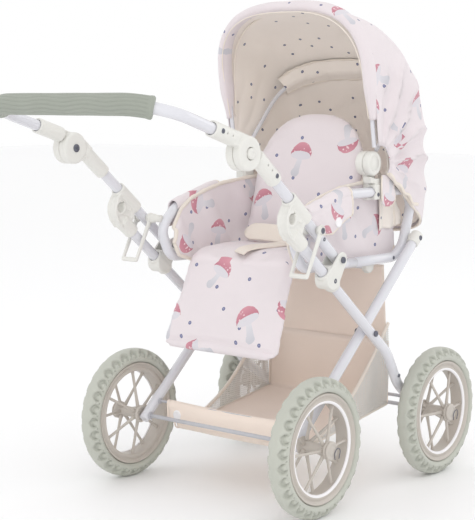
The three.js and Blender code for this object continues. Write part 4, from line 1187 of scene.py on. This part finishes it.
def curve_through(points, steps):
    """A smooth path through the points, with so many steps from each to the next."""
    ps = [Vector(p) for p in points]
    ps = [ps[0] * 2 - ps[1]] + ps + [ps[-1] * 2 - ps[-2]]
    path = []
    for i in range(1, len(ps) - 2):
        a, b, c, d = ps[i - 1], ps[i], ps[i + 1], ps[i + 2]
        for k in range(steps):
            t = k / steps
            path.append(0.5 * ((b * 2) + (c - a) * t + (a * 2 - b * 5 + c * 4 - d) * t * t
                               + (b * 3 - a - c * 3 + d) * t ** 3))
    return path + [ps[-2]]


# ---------------------------------------------------------------- hood
# the crown's radius from the hinge, at angles in degrees from straight ahead
CROWN = ((-33, 196), (-20, 178), (-8, 168), (5, 163), (17, 168), (34, 178), (49, 185), (60, 193), (75, 203),
         (103, 221))
HOOD_HALF = 127.8
DOTS = (0.036, 0.0023, DOT_TONE)
HOOD_PRINT = fabric("hood_print", CLOTH_TONE, dots=DOTS, marks=[
    (0.1328, 0.556, -68, 0.046), (0.2065, 0.427, 12, 0.046), (0.117, 0.508, 8, 0.046), (0.245, 0.520, -20, 0.046),
    (0.19, 0.478, 150, 0.044)])
RIM_PRINT = fabric("rim_print", CLOTH_TONE, marks=[(0.600, 0.264, 180, 0.044), (0.318, 0.268, 105, 0.044)],
                   dots=(0.050, 0.0024, DOT_TONE))
HOOD_TOP_PRINT = fabric("hood_top_print", CLOTH_TONE, dots=DOTS, field=(0.118, 0.047, 0.31))


def hood_points(angles, inset, foot=24.0):
    """One arch for each angle about the hinge: straight walls up to the shoulder and a rounded crown."""
    rows, steps, walls = [], 48, 8
    stops = np.array(CROWN, float)
    for angle in angles:
        top = float(np.interp(angle, stops[:, 0], stops[:, 1])) - inset
        y0 = HOOD_HALF - inset
        narrow = 6.5 * float(smoothstep(60, 8, angle))
        wall = [(around_hood(angle, foot + (HOOD_SHOULDER - foot) * k / walls), narrow * (k / walls) ** 2 - y0)
                for k in range(walls)]
        row = [across(spot, y) for spot, y in wall]
        for i in range(steps + 1):
            a = math.pi * i / steps
            e = 2 / HOOD_ROUNDNESS
            y = (narrow - y0) * signed_power(math.cos(a), e)
            r = HOOD_SHOULDER + (top - HOOD_SHOULDER) * math.sin(a) ** e
            row.append(across(around_hood(angle, r), y))
        rows.append(row + [across(spot, -y) for spot, y in reversed(wall)])
    return np.array([[list(p) for p in row] for row in rows])


def hood_polar(points):
    """Angle in degrees and radius in millimetres about the hood's hinge."""
    p = across(HOOD_PIVOT)
    dx, dz = points[..., 0] - p.x, points[..., 2] - p.z
    return np.degrees(np.arctan2(dz, dx)), np.hypot(dx, dz) * 1000


def pleats(points, strength):
    """Soft gathers that fan out from the hood's hinges, and slow dents over the crown."""
    angle, radius = hood_polar(points)
    side = smoothstep(0.055, 0.118, np.abs(points[..., 1]))
    near = smoothstep(24, 62, radius) * (1 - smoothstep(110, 176, radius))
    fan = smoothstep(-30, -5, angle) * smoothstep(97, 78, angle)
    drift = ripple(angle, radius, 4.2, 38.0)
    phase = angle / 21.0 + 0.55 * drift + 0.15 * np.sign(points[..., 1])
    ridge = 1 - 2 * np.abs(np.sin(math.pi * phase)) ** 0.75
    dents = ripple(points[..., 0] * 1000, points[..., 1] * 1000 + angle * 2, 7.7, 46.0)
    fine = ripple(points[..., 0] * 1000 + angle, points[..., 1] * 1000, 2.3, 17.0)
    ahead = smoothstep(100, 92, angle) * smoothstep(50, 60, angle)
    behind = smoothstep(46, 36, angle) * smoothstep(-30, 0, angle)
    sag = ahead + behind
    crown_sag = -6.5 * sag * (1 - side) * smoothstep(120, 180, radius)
    return (strength * ridge * side * near * fan + 1.3 * dents + 0.5 * fine + crown_sag) / 1000


def with_hood(obj):
    """Cloth between the seat frame and the front bow; its place is baked into its mesh, in the shared frame."""
    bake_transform(obj)


def hood_uv(obj):
    """Sides lie flat in the side view; the top is unrolled over the crown. A second material is the sides'."""
    mesh = obj.data
    layer = cloth_layer(mesh)
    co = np.array([v.co for v in mesh.vertices], float)
    angle = hood_polar(co)[0]
    over = np.stack([co[:, 1] + 0.5, np.radians(angle) * 0.19 + 0.5], axis=1)
    flat = np.stack([co[:, 0] * np.where(co[:, 1] < 0, 1, -1), co[:, 2]], axis=1)
    for face in mesh.polygons:
        beside = abs(face.normal.y) > 0.62
        face.material_index = 1 if beside and len(mesh.materials) > 1 else 0
        for loop, vertex in zip(face.loop_indices, face.vertices):
            layer.data[loop].uv = tuple(flat[vertex] if beside else over[vertex])


def hood_cloth():
    middle = np.array(across(HOOD_PIVOT))
    base = hood_points(np.linspace(99.5, -33, 92), 0.0)
    outer = base + away_from(base, middle) * pleats(base, 6.2)[..., None]
    shell = grid_object("hood_outer_cloth", outer, HOOD_TOP_PRINT, HOOD_PRINT, thickness=0.0016)
    hood_uv(shell)
    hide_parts("canopy_front", "canopy_rear")
    with_hood(shell)

    base = hood_points(np.linspace(99.0, -32, 70), 5.6, foot=27.0)
    shift = np.minimum(pleats(base, 1.6) * 0.8, 0.0012)
    inner = base + away_from(base, middle) * shift[..., None]
    lining = grid_object("hood_lining_cloth", inner, LINING, thickness=0.0011)
    hood_uv(lining)
    with_hood(lining)


def rim_band():
    """The padded front edge: cloth rolled over foam and the front bow."""
    path = arch(100.5, 123.2, 216.0, 112.0, 60, steps=90)
    total = arc_lengths(path)[-1]
    places = dense(path, 0.004)
    tilt = math.radians(100.5)
    plane = Vector((-math.sin(tilt), 0, math.cos(tilt)))

    def section(s, share):
        end = smoothstep(0, 0.045, min(s, total - s))
        pucker = noise.noise(Vector((s * 38, 1.0, 0.0))) * 0.5 + noise.noise(Vector((s * 120, 5.0, 0.0))) * 0.22
        points = []
        for k in range(30):
            a = 2 * math.pi * k / 30
            wide = 12.4 * signed_power(math.sin(a), 0.8) * (0.45 + 0.55 * float(end))
            thick = (7.0 + 1.4 * pucker) * signed_power(math.cos(a), 0.85) * (0.62 + 0.38 * float(end))
            points.append((thick / 1000, wide / 1000))
        return points

    band = sweep("hood_rim_pad", places, section, RIM_PRINT, up=plane)
    line = np.array([list(q) for q in places])
    heart = np.array(across(HOOD_PIVOT)) + 0.09 * np.array([math.cos(tilt), 0, math.sin(tilt)])

    def unroll(co):
        """Along the bow, and round the roll from its front to its outside."""
        near = line[np.argmin(((co[:, None] - line[None]) ** 2).sum(axis=2), axis=1)]
        run = np.arctan2(near[:, 1], np.linalg.norm(near - heart - near * (0, 1, 0), axis=1))
        sideways = (co - near) @ np.array(plane)
        outward = np.linalg.norm(co - heart, axis=1) - np.linalg.norm(near - heart, axis=1)
        return np.stack([run * 0.16 + 0.43, sideways - outward + 0.27], axis=1)

    set_uv(band, unroll)
    place(band, "hood_front", "printed_fabric")
    for name, angle, half, top in (("front", 105.2, 119.0, 210.5), ("back", 94.6, 117.4, 207.5)):
        edge = arch(angle, half, top, 108.0, 62, steps=80)
        welt(f"hood_rim_piping_{name}", edge, 1.15 if name == "back" else 0.8, BINDING, "hood_front", up=plane,
             pinch=0.25)


def tunnel():
    """The sleeve of lining that holds the middle bow, with a bound edge on each side."""
    rows = []
    for share in np.linspace(0.16, 0.84, 70):
        a = math.pi * share
        e = 2 / HOOD_ROUNDNESS
        row = []
        for angle, top, half in ((54.0, 177.5, 119.0), (53.2, 176.0, 117.6), (51.2, 172.5, 114.0),
                                 (50.0, 169.8, 111.6), (48.0, 167.4, 109.6), (46.0, 169.8, 111.6),
                                 (44.8, 171.5, 114.0), (43.0, 172.5, 116.5), (42.2, 173.0, 117.5)):
            y = -half * signed_power(math.cos(a), e)
            r = 92 + (top - 92) * math.sin(a) ** e
            wave = 0.9 * noise.noise(Vector((share * 30, angle / 6, 2.0)))
            row.append(list(across(around_hood(angle + 0.25 * wave, r + wave), y)))
        rows.append(row)
    points = np.array(rows)
    obj = grid_object("hood_bow_tunnel", points, LINING, thickness=0.0010)
    hood_uv(obj)
    with_hood(obj)
    for name, column, radius in (("front", 0, 1.5), ("rear", 8, 1.7)):
        edge = [Vector(p) for p in points[:, column]]
        for i, p in enumerate(edge):
            p.z += 0.0009 * noise.noise(Vector((i * 0.9, column, 8.0)))
        with_hood(welt(f"hood_tunnel_edge_{name}", edge, radius, BINDING, None, up=MIDDLE_BOW_UP, pinch=0.6))


def hood_edges():
    rear = [Vector(p) for p in hood_points([-33], 1.4)[0]]
    with_hood(welt("hood_rear_hem", rear, 2.0, BINDING, None, up=Vector((0.55, 0, 0.83)), pinch=0.2))
    for name, side in SIDES:
        line = []
        for k in range(26):
            spot = around_hood(-33 + 1.5 * math.sin(k * 0.8), 26 + 88 * k / 25)
            line.append(across(spot, side * (HOOD_HALF + 0.4 + 0.5 * math.sin(k * 0.6))))
        with_hood(welt(f"hood_side_hem_{name}", line, 2.3, BINDING, None))


hood_cloth()
rim_band()
tunnel()
hood_edges()


# ---------------------------------------------------------------- padded seat
BACK_PRINT = fabric("back_print", CLOTH_TONE, dots=(0.040, 0.0026, DOT_TONE), marks=[
    (0.012, 0.119, -4, 0.052), (0.062, 0.052, 29, 0.048), (-0.060, 0.150, -160, 0.045), (-0.062, 0.050, 60, 0.046)])
SEAT_PRINT = fabric("seat_print", CLOTH_TONE, dots=(0.046, 0.0027, DOT_TONE), marks=[
    (-0.044, -0.080, 33, 0.054), (0.093, -0.088, 9, 0.054), (0.026, -0.018, -26, 0.047),
    (-0.100, -0.045, 160, 0.050), (-0.052, 0.060, 12, 0.045), (0.062, 0.095, -30, 0.045),
    (0.030, -0.125, 100, 0.050)])


def superellipse(half, length, depth, power, steps):
    """The outline of a panel: a flat start and a rounded far end. Gives (across, along)."""
    points = [(-half, 0.0)]
    for i in range(steps + 1):
        a = -math.pi / 2 + math.pi * i / steps
        wide = half * signed_power(math.sin(a), 2 / power)
        points.append((wide, length - depth + depth * math.cos(a) ** (2 / power)))
    return points + [(half, 0.0)]


def backrest():
    along = Vector((math.cos(BACKREST_ANGLE), 0, math.sin(BACKREST_ANGLE)))
    face = Vector((-math.sin(BACKREST_ANGLE), 0, math.cos(BACKREST_ANGLE)))
    origin = across(BACKREST_PIVOT)
    outline = superellipse(95.0, 189.0, 92, 2.2, 64)
    verts, n = [], len(outline)
    for depth, shrink in ((-5.6, 0.965), (-2.8, 1.0), (2.8, 1.0), (5.6, 0.965)):
        for wide, up in outline:
            p = origin + along * ((up * shrink + (1 - shrink) * 80 + 4) / 1000) + face * depth / 1000
            verts.append(p + Vector((0, wide * shrink / 1000, 0)))
    faces = grid_faces(4, n, False, True)
    faces += [tuple(reversed(range(n))), tuple(range(3 * n, 4 * n))]
    obj = mesh_object("backrest_cushion", verts, faces, BACK_PRINT)
    puff(obj, cap=0.0042, voxel=0.0048)
    a, f, o = np.array(along), np.array(face), np.array(origin)

    def wrinkles(co):
        v, h = (co - o) @ a * 1000, (co - o) @ f
        y = co[:, 1] * 1000
        edge = np.clip((94 - np.abs(y)) / 18, 0, 1)
        w = 0.8 * ripple(y * 0.7 + v * 0.4, v * 1.3, 1.1, 34) + 0.4 * ripple(y, v, 6.1, 15)
        return np.sign(h)[:, None] * f[None, :] * (w * edge)[:, None] / 1000

    push(obj, wrinkles)
    set_uv(obj, lambda co: np.stack([co[:, 1], (co - o) @ a], axis=1))
    obj.data.materials.clear()
    obj.data.materials.append(BACK_PRINT)
    place(obj, "back", "printed_fabric", "backrest")


def seat_path():
    a = LEG_REST_ANGLE
    down = (math.cos(a), math.sin(a))
    points = [(158, 0, 320.0), (120, 0, 320.4), (84, 0, 320.2), (64, 0, 318.6), (52, 0, 312.5)]
    points += [(LEG_REST_PIVOT[0] + down[0] * s, 0, LEG_REST_PIVOT[1] + down[1] * s) for s in (7, 28, 60, 92, 128)]
    return curve_through(points, 11)


def seat_cushion():
    """One soft panel: the seat's pad, turned down over its front edge, and the leg rest."""
    path = seat_path()
    lengths = arc_lengths(path)
    total = lengths[-1]
    columns, rows = 34, []
    for i, p in enumerate(path):
        t = (path[min(i + 1, len(path) - 1)] - path[max(i - 1, 0)]).normalized()
        up = Vector((t.z, 0, -t.x))
        if up.z < 0 and p.x > 64:
            up = -up
        if p.x <= 64 and up.x > 0:
            up = -up
        left = total - lengths[i]
        base_half = 94.0 + 5.5 * float(smoothstep(112, 30, left))
        half = base_half - 17 * (1 - math.sqrt(max(0.0, 1 - max(0.0, 1 - left / 17.0) ** 2)))
        thick = 4.7 * min(1.0, 0.45 + left / 12.0) * min(1.0, 0.5 + lengths[i] / 10.0)
        row = []
        for k in range(columns):
            a = 2 * math.pi * k / columns
            wide = half * signed_power(math.cos(a), 0.45)
            high = thick * signed_power(math.sin(a), 0.6)
            row.append(at(p.x, wide, p.z) + up * high / 1000)
        rows.append(row)
    verts = [v for row in rows for v in row]
    faces = grid_faces(len(rows), columns, False, True)
    faces += [tuple(reversed(range(columns))), tuple(range((len(rows) - 1) * columns, len(rows) * columns))]
    obj = mesh_object("seat_cushion", verts, faces, SEAT_PRINT)
    puff(obj, cap=0.0034, voxel=0.0046)
    pivot = np.array(across(LEG_REST_PIVOT))
    down = np.array([math.cos(LEG_REST_ANGLE), 0, math.sin(LEG_REST_ANGLE)])
    front = np.array([-abs(math.sin(LEG_REST_ANGLE)), 0, -math.cos(LEG_REST_ANGLE)])

    def run(co):
        """Distance along the cloth: positive on the seat, negative down the leg rest."""
        low = (co - pivot) @ down
        over = co[:, 0] - pivot[0]
        return np.where(low > 0.0, -low, np.where(over > 0, over + 0.006, 0.0))

    def wrinkles(co):
        v, y = run(co) * 1000, co[:, 1] * 1000
        hang = smoothstep(0, -20, v)[:, None]
        edge = np.clip((96 - np.abs(y)) / 16, 0, 1)
        crease = -3.0 * np.exp(-((v + 112 - 4 * np.cos(y / 40)) / 3.2) ** 2) * smoothstep(98, 84, np.abs(y))
        roll = 2.6 * np.exp(-((v + 121) / 7.0) ** 2)
        seam = -1.5 * np.exp(-((v + 1 - 0.04 * np.abs(y)) / 1.7) ** 2)
        soft = 1.2 * ripple(y * 0.6, v, 3.3, 30) + 0.5 * ripple(y, v * 1.5, 9.3, 13)
        facing = np.where((co - pivot) @ front > 0, 1.0, 0.15)
        amount = (hang[:, 0] * (crease + roll) * facing + (soft * edge * facing) + seam * facing) / 1000
        on_top = np.where(co[:, 2] > 0.32, 1, 0) * amount
        return hang * front * amount[:, None] + (1 - hang) * np.array([0, 0, 1.0]) * on_top[:, None]

    push(obj, wrinkles)
    set_uv(obj, lambda co: np.stack([co[:, 1], run(co)], axis=1))
    obj.data.materials.clear()
    obj.data.materials.append(SEAT_PRINT)
    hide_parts("seat_pad", "leg_rest")
    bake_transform(obj)


backrest()
seat_cushion()


def webbing(w, t, edge, swell):
    """The section of a flat strap, w and t half its width and thickness in metres, fuller inside its edges."""
    return [(-w, -t), (-w * edge, -t * swell), (w * edge, -t * swell), (w, -t), (w, t), (w * edge, t * swell),
            (-w * edge, t * swell), (-w, t)]


def harness():
    """Flat webbing over the seat: a waist tab with a rounded end, and the crotch strap."""
    wave = lambda y: 1.2 * math.sin(y / 21)
    left = [at(131 - 0.03 * y, y, 341.5 + wave(y)) for y in range(58, -81, -4)]

    def tab(s, share):
        end = min(1.0, 0.25 + math.sqrt(min(1.0, s / 0.012)) * 0.75)
        return webbing(0.0135 * end, 0.0016, 0.9, 1.3)

    obj = sweep("waist_strap", left, tab, BINDING, up=Vector((-0.77, 0, 0.64)))
    set_uv(obj, lambda co: np.stack([co[:, 0], co[:, 1]], axis=1))
    place(obj, "seat_frame", "binding", "harness")
    path = curve_through([at(46, 3, 321.5), at(53, 0, 326.2), at(66, -6, 328.9), at(86, -15, 329.8),
                          at(106, -24, 331.2), at(120, -31, 334.5), at(127, -34, 341.0)], 8)
    obj = sweep("crotch_strap", path, lambda s, share: webbing(0.0115, 0.0008, 0.96, 1.15), BINDING,
                Vector((-0.3, 0, 1)))
    set_uv(obj, lambda co: np.stack([co[:, 0], co[:, 1] + co[:, 2]], axis=1))
    place(obj, "seat_frame", "binding")


harness()


# ---------------------------------------------------------------- side wings
WING_LEFT_PRINT = fabric("wing_left_print", CLOTH_TONE, dots=(0.040, 0.0024, DOT_TONE), marks=[
    (0.036, 0.382, -77, 0.048), (0.068, 0.338, 8, 0.044), (0.150, 0.398, 150, 0.046), (0.165, 0.345, 40, 0.046),
    (0.005, 0.335, -140, 0.046)])
WING_RIGHT_PRINT = fabric("wing_right_print", CLOTH_TONE, dots=(0.042, 0.0024, DOT_TONE), marks=[
    (0.052, 0.388, -150, 0.044), (0.098, 0.362, 4, 0.046), (0.170, 0.352, 70, 0.046), (0.020, 0.345, 30, 0.044)])
# the middle of the loop's top rail, as x and z
RAIL = np.array([(8, 352), (16, 366), (30, 376), (44, 381), (62, 386), (84, 392), (110, 399.6), (124, RAIL_Z),
                 (300, RAIL_Z)], float)


def wing(name, side, material):
    """Cloth from the seat up the inside of the loop; at the front it wraps over the top rail."""
    xs = np.linspace(24, 268, 74)
    tops = np.interp(xs, (24, 40, 60, 90, 130, 180, 224, 246, 262, 268),
                     (352, 377, 390, 400, 409, 414, 417, 408, 384, 350))
    bottoms = np.interp(xs, (24, 34, 60, 120, 262, 268), (330, 313, 305, 305, 311, 322))
    rows = []
    for x, top, bottom in zip(xs, tops, bottoms):
        flare = 7.5 * float(smoothstep(70, 24, x))
        row = []
        for k in range(26):
            t = k / 25
            z = bottom + (top - bottom) * t
            fold = 5.0 * math.sin(x * 0.075 + z * 0.052)
            fold *= float(smoothstep(0, 0.3, t)) * float(smoothstep(1, 0.75, t))
            soft = 1.4 * noise.noise(Vector((x / 26, z / 22, side * 2.0)))
            belly = 1.6 * math.sin(math.pi * t)
            y = 98.9 + 0.9 * t + flare * (0.25 + 0.75 * t) * 0.12 - max(0.0, fold) - belly * 0.5 + soft * 0.6
            row.append(list(at(x, side * min(y, 100.8), z)))
        rows.append(row)
    points = np.array(rows)
    obj = grid_object(f"side_wing_cloth_{name}", points, material, thickness=0.0018)
    side_uv(obj)
    place(obj, "seat_frame", "printed_fabric", f"side_wing_{name}")
    rim = [Vector(points[0, k]) for k in range(26)] + [Vector(p[-1]) for p in points[1:]]
    welt(f"side_wing_binding_{name}", rim, 2.7, BINDING, "seat_frame", pinch=0.25)
    foot = [Vector(p[0]) for p in points]
    welt(f"side_wing_hem_{name}", foot, 2.4, BINDING, "seat_frame")


def rail_sleeve(name, side, material):
    """The wrap of cloth round the top rail, closed by a snap, its rear end bunched."""
    rows = []
    for x in np.linspace(36, 128, 40):
        z = float(np.interp(x, RAIL[:, 0], RAIL[:, 1]))
        loose = 1.5 + 0.8 * noise.noise(Vector((x / 14, side, 1.0)))
        row = []
        for k in range(40):
            t = k / 39
            if t < 0.62:
                a = math.pi * (1.06 - 1.12 * t / 0.62)
                radius = 8.1 + loose * (0.4 + 0.6 * math.sin(math.pi * t / 0.62))
                y, height = LOOP_Y + radius * -math.cos(math.pi - a), z + radius * math.sin(a)
            else:
                down = (t - 0.62) / 0.38
                point = 1 - 0.35 * abs((x - 84) / 46)
                y = LOOP_Y + 8.7 + loose * 0.5 + 1.6 * math.sin(down * 3.0)
                height = z - 1.5 - 38 * down * point
                y += 1.1 * noise.noise(Vector((x / 11, height / 13, 4.0)))
            row.append(list(at(x, side * y, height)))
        rows.append(row)
    points = np.array(rows)
    obj = grid_object(f"rail_sleeve_{name}", points, material, thickness=0.0015)
    side_uv(obj)
    place(obj, "seat_frame", "printed_fabric")
    out = Vector((0, side, 0))
    snap(f"wing_snap_{name}", at(94, side * 124.6, 367), out, "seat_frame")
    hem = [Vector(p[-1]) for p in points]
    welt(f"rail_sleeve_hem_{name}", hem, 1.4, BINDING, "seat_frame", pinch=0.5)
    end = [Vector(points[-1, k]) for k in range(40)]
    for i, p in enumerate(end):
        p.x += 0.0016 * noise.noise(Vector((i * 0.6, 3.0, side)))
    welt(f"rail_sleeve_end_{name}", end, 2.0, BINDING, "seat_frame", pinch=0.8)


for make in (wing, rail_sleeve):
    make("left", 1, WING_LEFT_PRINT)
    make("right", -1, WING_RIGHT_PRINT)


TAB_PRINT = fabric("tab_print", CLOTH_TONE, marks=[(0.172, 0.398, 200, 0.040)], dots=DOTS)


def rear_skirt(name, side):
    """Lining that hangs inside the loop below the hood's hem, and the printed tab beside the clamp."""
    rows = []
    for i in range(26):
        s = i / 25
        x0 = 222 + 58 * s
        top = 432 - 62 * s
        low = 346 + 6 * s + 1.5 * math.sin(s * 9)
        row = []
        for k in range(20):
            t = k / 19
            y = 103.0 + 1.8 * math.sin(s * 14 + t * 2) * t + 0.8 * noise.noise(Vector((s * 6, t * 5, side)))
            row.append(list(at(x0 + 3 * t, side * (y - 1.4), top + (low - top) * t)))
        rows.append(row)
    points = np.array(rows)
    obj = grid_object(f"rear_skirt_{name}", points, LINING, thickness=0.0012)
    side_uv(obj)
    place(obj, "seat_frame", "lining_fabric")
    path = curve_through([at(214, side * 121.4, 424), at(213, side * 122.6, 410), at(215, side * 123.0, 396),
                          at(218, side * 122.4, 382)], 8)

    def half_width(share):
        end = math.sqrt(max(0.02, 1 - max(0.0, (share - 0.72) / 0.28) ** 2))
        return 0.0175 * (0.78 + 0.22 * share) * end

    def tongue(s, share):
        w, t = half_width(share), 0.0015
        return [(-w, -t * 0.4), (-w * 0.9, -t), (0, -t * 1.25), (w * 0.9, -t), (w, -t * 0.4), (w, t * 0.4),
                (w * 0.9, t), (0, t * 1.25), (-w * 0.9, t), (-w, t * 0.4)]

    tab = sweep(f"side_tab_{name}", path, tongue, TAB_PRINT, up=Vector((0, side, 0)))
    side_uv(tab)
    place(tab, "seat_frame", "printed_fabric")
    down, up = ([p + Vector((sign * half_width(i / (len(path) - 1)), 0, 0)) for i, p in enumerate(path)]
                for sign in (-1, 1))
    edge = down + up[::-1]
    welt(f"side_tab_binding_{name}", edge, 1.25, BINDING, "seat_frame")


for side_name, side in SIDES:
    rear_skirt(side_name, side)


# ---------------------------------------------------------------- basket
def with_legs(obj):
    """Cloth slung between the two pairs of legs."""
    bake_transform(obj)


def basket():
    """The hanging basket: floor, front wall turned over its wire, and a back wall, in one cloth."""
    ys = np.linspace(-104.5, 104.5, 44)
    profile = [(15.4, 84.5), (15.0, 90.0), (15.2, 97.0), (15.8, 103.0), (17.0, 108.2), (20.0, 110.8), (24.0, 110.2),
               (28.4, 106.0), (30.6, 98.0), (31.0, 88.0), (32.0, 78.0), (35.0, 71.5), (42.0, 68.0)]
    profile += [(42.0 + 208.0 * k / 24, 68.0 + 30.0 * k / 24) for k in range(1, 25)]
    profile += [(250.6, 104.0), (250.4, 120), (250.0, 140), (249.8, 160), (249.4, 178), (249.2, 189.0)]
    rows = []
    for x, z in profile:
        row = []
        for y in ys:
            floor = float(smoothstep(38, 80, x)) * float(smoothstep(250, 215, x))
            sag = -7.5 * floor * (1 - (y / 104.5) ** 2) + 1.2 * noise.noise(Vector((x / 40, y / 40, 1.0))) * floor
            front = 1.0 if x < 36 else 0.0
            puck = front * 1.1 * noise.noise(Vector((y / 24, z / 16, 5.0)))
            back = 1.0 if x > 249 else 0.0
            bow = back * (2.2 * noise.noise(Vector((y / 46, z / 40, 9.0))) - 2.5 * math.cos(y / 67))
            droop = -2.2 * front * (1 - (y / 104.5) ** 2)
            row.append(list(at(x + puck * 0.6 + bow, y * (1 - 0.03 * (front > 0 and z < 100)), z + sag + droop)))
        rows.append(row)
    points = np.array(rows)
    obj = grid_object("basket_cloth", points, BASKET, thickness=0.0016)
    set_uv(obj, lambda co: np.stack([co[:, 1], co[:, 0] + co[:, 2]], axis=1))
    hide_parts("basket")
    with_legs(obj)
    hem = [Vector(p) for p in points[0]]
    welt("basket_flap_hem", hem, 1.1, BASKET, "rear_legs", up=Vector((1, 0, 0)))
    for name, side in SIDES:
        snap(f"basket_snap_{name}", at(14.4, side * 85, 93.5), Vector((-1, 0, 0)), "rear_legs")
        edge = [at(x, side * y, z) for x, y, z in (
            (14.9, 101.6, 84.5), (14.6, 101.8, 90), (14.9, 102.4, 98), (16.6, 104.4, 107), (20, 105.2, 110.4),
            (28, 105.2, 106), (31, 105.2, 96), (32, 105.2, 78), (36, 105.2, 70), (44, 105.2, 68.4))]
        welt(f"basket_front_edge_{name}", curve_through(edge, 4), 1.3, BASKET, "rear_legs")


def gusset(name, side):
    """The triangular net at each side, hung from a bound curved edge."""
    curve = curve_through([(52, 0, 72), (84, 0, 80), (124, 0, 98), (162, 0, 124), (200, 0, 160), (228, 0, 190),
                           (249, 0, 214)], 8)
    rows = []
    for i, p in enumerate(curve):
        base = 69.5 + (p.x - 52) * 30 / 208
        row = []
        for k in range(16):
            t = k / 15
            slack = 2.6 * math.sin(math.pi * t) * math.sin(i * 0.35) * min(1.0, (p.z - base) / 40)
            row.append(list(at(p.x, side * (105.0 - slack), p.z + (base - p.z) * t)))
        rows.append(row)
    points = np.array(rows)
    obj = grid_object(f"basket_net_{name}", points, NET, thickness=0.0006)
    side_uv(obj)
    with_legs(obj)
    edge = [Vector(r[0]) for r in points]
    for label, line, radius in (("top", edge, 2.4), ("floor", [Vector(r[-1]) for r in points], 1.5)):
        with_legs(welt(f"basket_net_{label}_{name}", line, radius, BINDING, None, pinch=0.2))
    back = [at(249.5, side * 105.0, z) for z in range(100, 189, 8)]
    welt(f"basket_back_seam_{name}", back, 1.3, BASKET, "chassis", pinch=0.2)


def basket_back():
    ys = np.linspace(-101, 101, 40)
    rows = []
    for k in range(30):
        t = k / 29
        z = 183 + 113 * t
        row = []
        for y in ys:
            pull = 1.8 * math.sin(y / 17 + 1.5 * t) * t + 2.2 * noise.noise(Vector((y / 34, z / 30, 3.0)))
            half = 1.0 - 0.05 * t
            row.append(list(at(251.6 - 4.5 * t + 0.7 * pull * t - 1.8 * math.cos(y / 65), y * half, z)))
        rows.append(row)
    points = np.array(rows)
    obj = grid_object("basket_back_cloth", points, BASKET, thickness=0.0015)
    set_uv(obj, lambda co: np.stack([co[:, 1], co[:, 0] + co[:, 2]], axis=1))
    place(obj, "chassis", "basket_fabric", "basket_back_panel")
    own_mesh(obj)


basket()
for side_name, side in SIDES:
    gusset(side_name, side)
basket_back()


# ---------------------------------------------------------------- floor, light, camera
def stage():
    shader = Shader("pale_floor", Roughness=0.6)
    drift = shader.node("TexNoise", {"Scale": 3.0})
    tint = shader.mixed(drift.outputs["Fac"], srgb(250, 250, 251), srgb(253, 253, 253))
    shader.link(tint, shader.base.inputs["Base Color"])
    w = 12.0
    mesh_object("floor", [(-w, -w, 0), (w, -w, 0), (w, w, 0), (-w, w, 0)], [(0, 1, 2, 3)],
                         shader.material, smooth=False, fix=False)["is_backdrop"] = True


def light(name, where, target, size, power, color=(1, 1, 1)):
    data = bpy.data.lights.new(name, "AREA")
    data.shape = "DISK"
    data.size = size
    data.energy = power
    data.color = color
    obj = bpy.data.objects.new(name, data)
    bpy.context.scene.collection.objects.link(obj)
    obj.location = where
    obj.rotation_euler = (Vector(target) - Vector(where)).to_track_quat("-Z", "Y").to_euler()


stage()
world = bpy.data.worlds.new("studio")
world.use_nodes = True
background = world.node_tree.nodes["Background"]
background.inputs["Color"].default_value = (1.0, 1.0, 1.0, 1.0)
background.inputs["Strength"].default_value = 1.0
bpy.context.scene.world = world
light("key", (-1.5, -1.2, 2.3), (0.0, 0.0, 0.3), 1.2, 6, (1.0, 0.985, 0.96))
light("front", (-1.7, -1.3, 0.75), (0.05, 0.0, 0.45), 0.8, 3, (1.0, 0.98, 0.96))
light("fill", (-1.0, 2.2, 1.3), (0.0, 0.0, 0.3), 2.0, 2)
light("rim", (2.2, -1.4, 1.6), (0.0, 0.0, 0.35), 1.4, 5)

camera = bpy.data.cameras.new("camera")
camera.sensor_width = 36.0   # so that lens is in true millimetres
camera.lens = 95.935154
camera.shift_x = 0.05075
camera.clip_end = 50
view = bpy.data.objects.new("camera", camera)
bpy.context.scene.collection.objects.link(view)
right = Vector((0.64094, -0.76758, 0.004166))
above = Vector((0.082338, 0.074148, 0.993842))
ahead = Vector((0.763162, 0.63665, -0.110725))
view.matrix_world = Matrix(((right.x, above.x, -ahead.x, -1.44077), (right.y, above.y, -ahead.y, -1.15102),
                            (right.z, above.z, -ahead.z, 0.51765), (0, 0, 0, 1)))
bpy.context.scene.camera = view
bpy.context.scene.view_settings.view_transform = "Standard"

corners = lambda box: [[round(float(v), 6) for v in corner] for corner in box]
{"cad": corners(CAD_BOX), "visual": corners(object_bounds())}
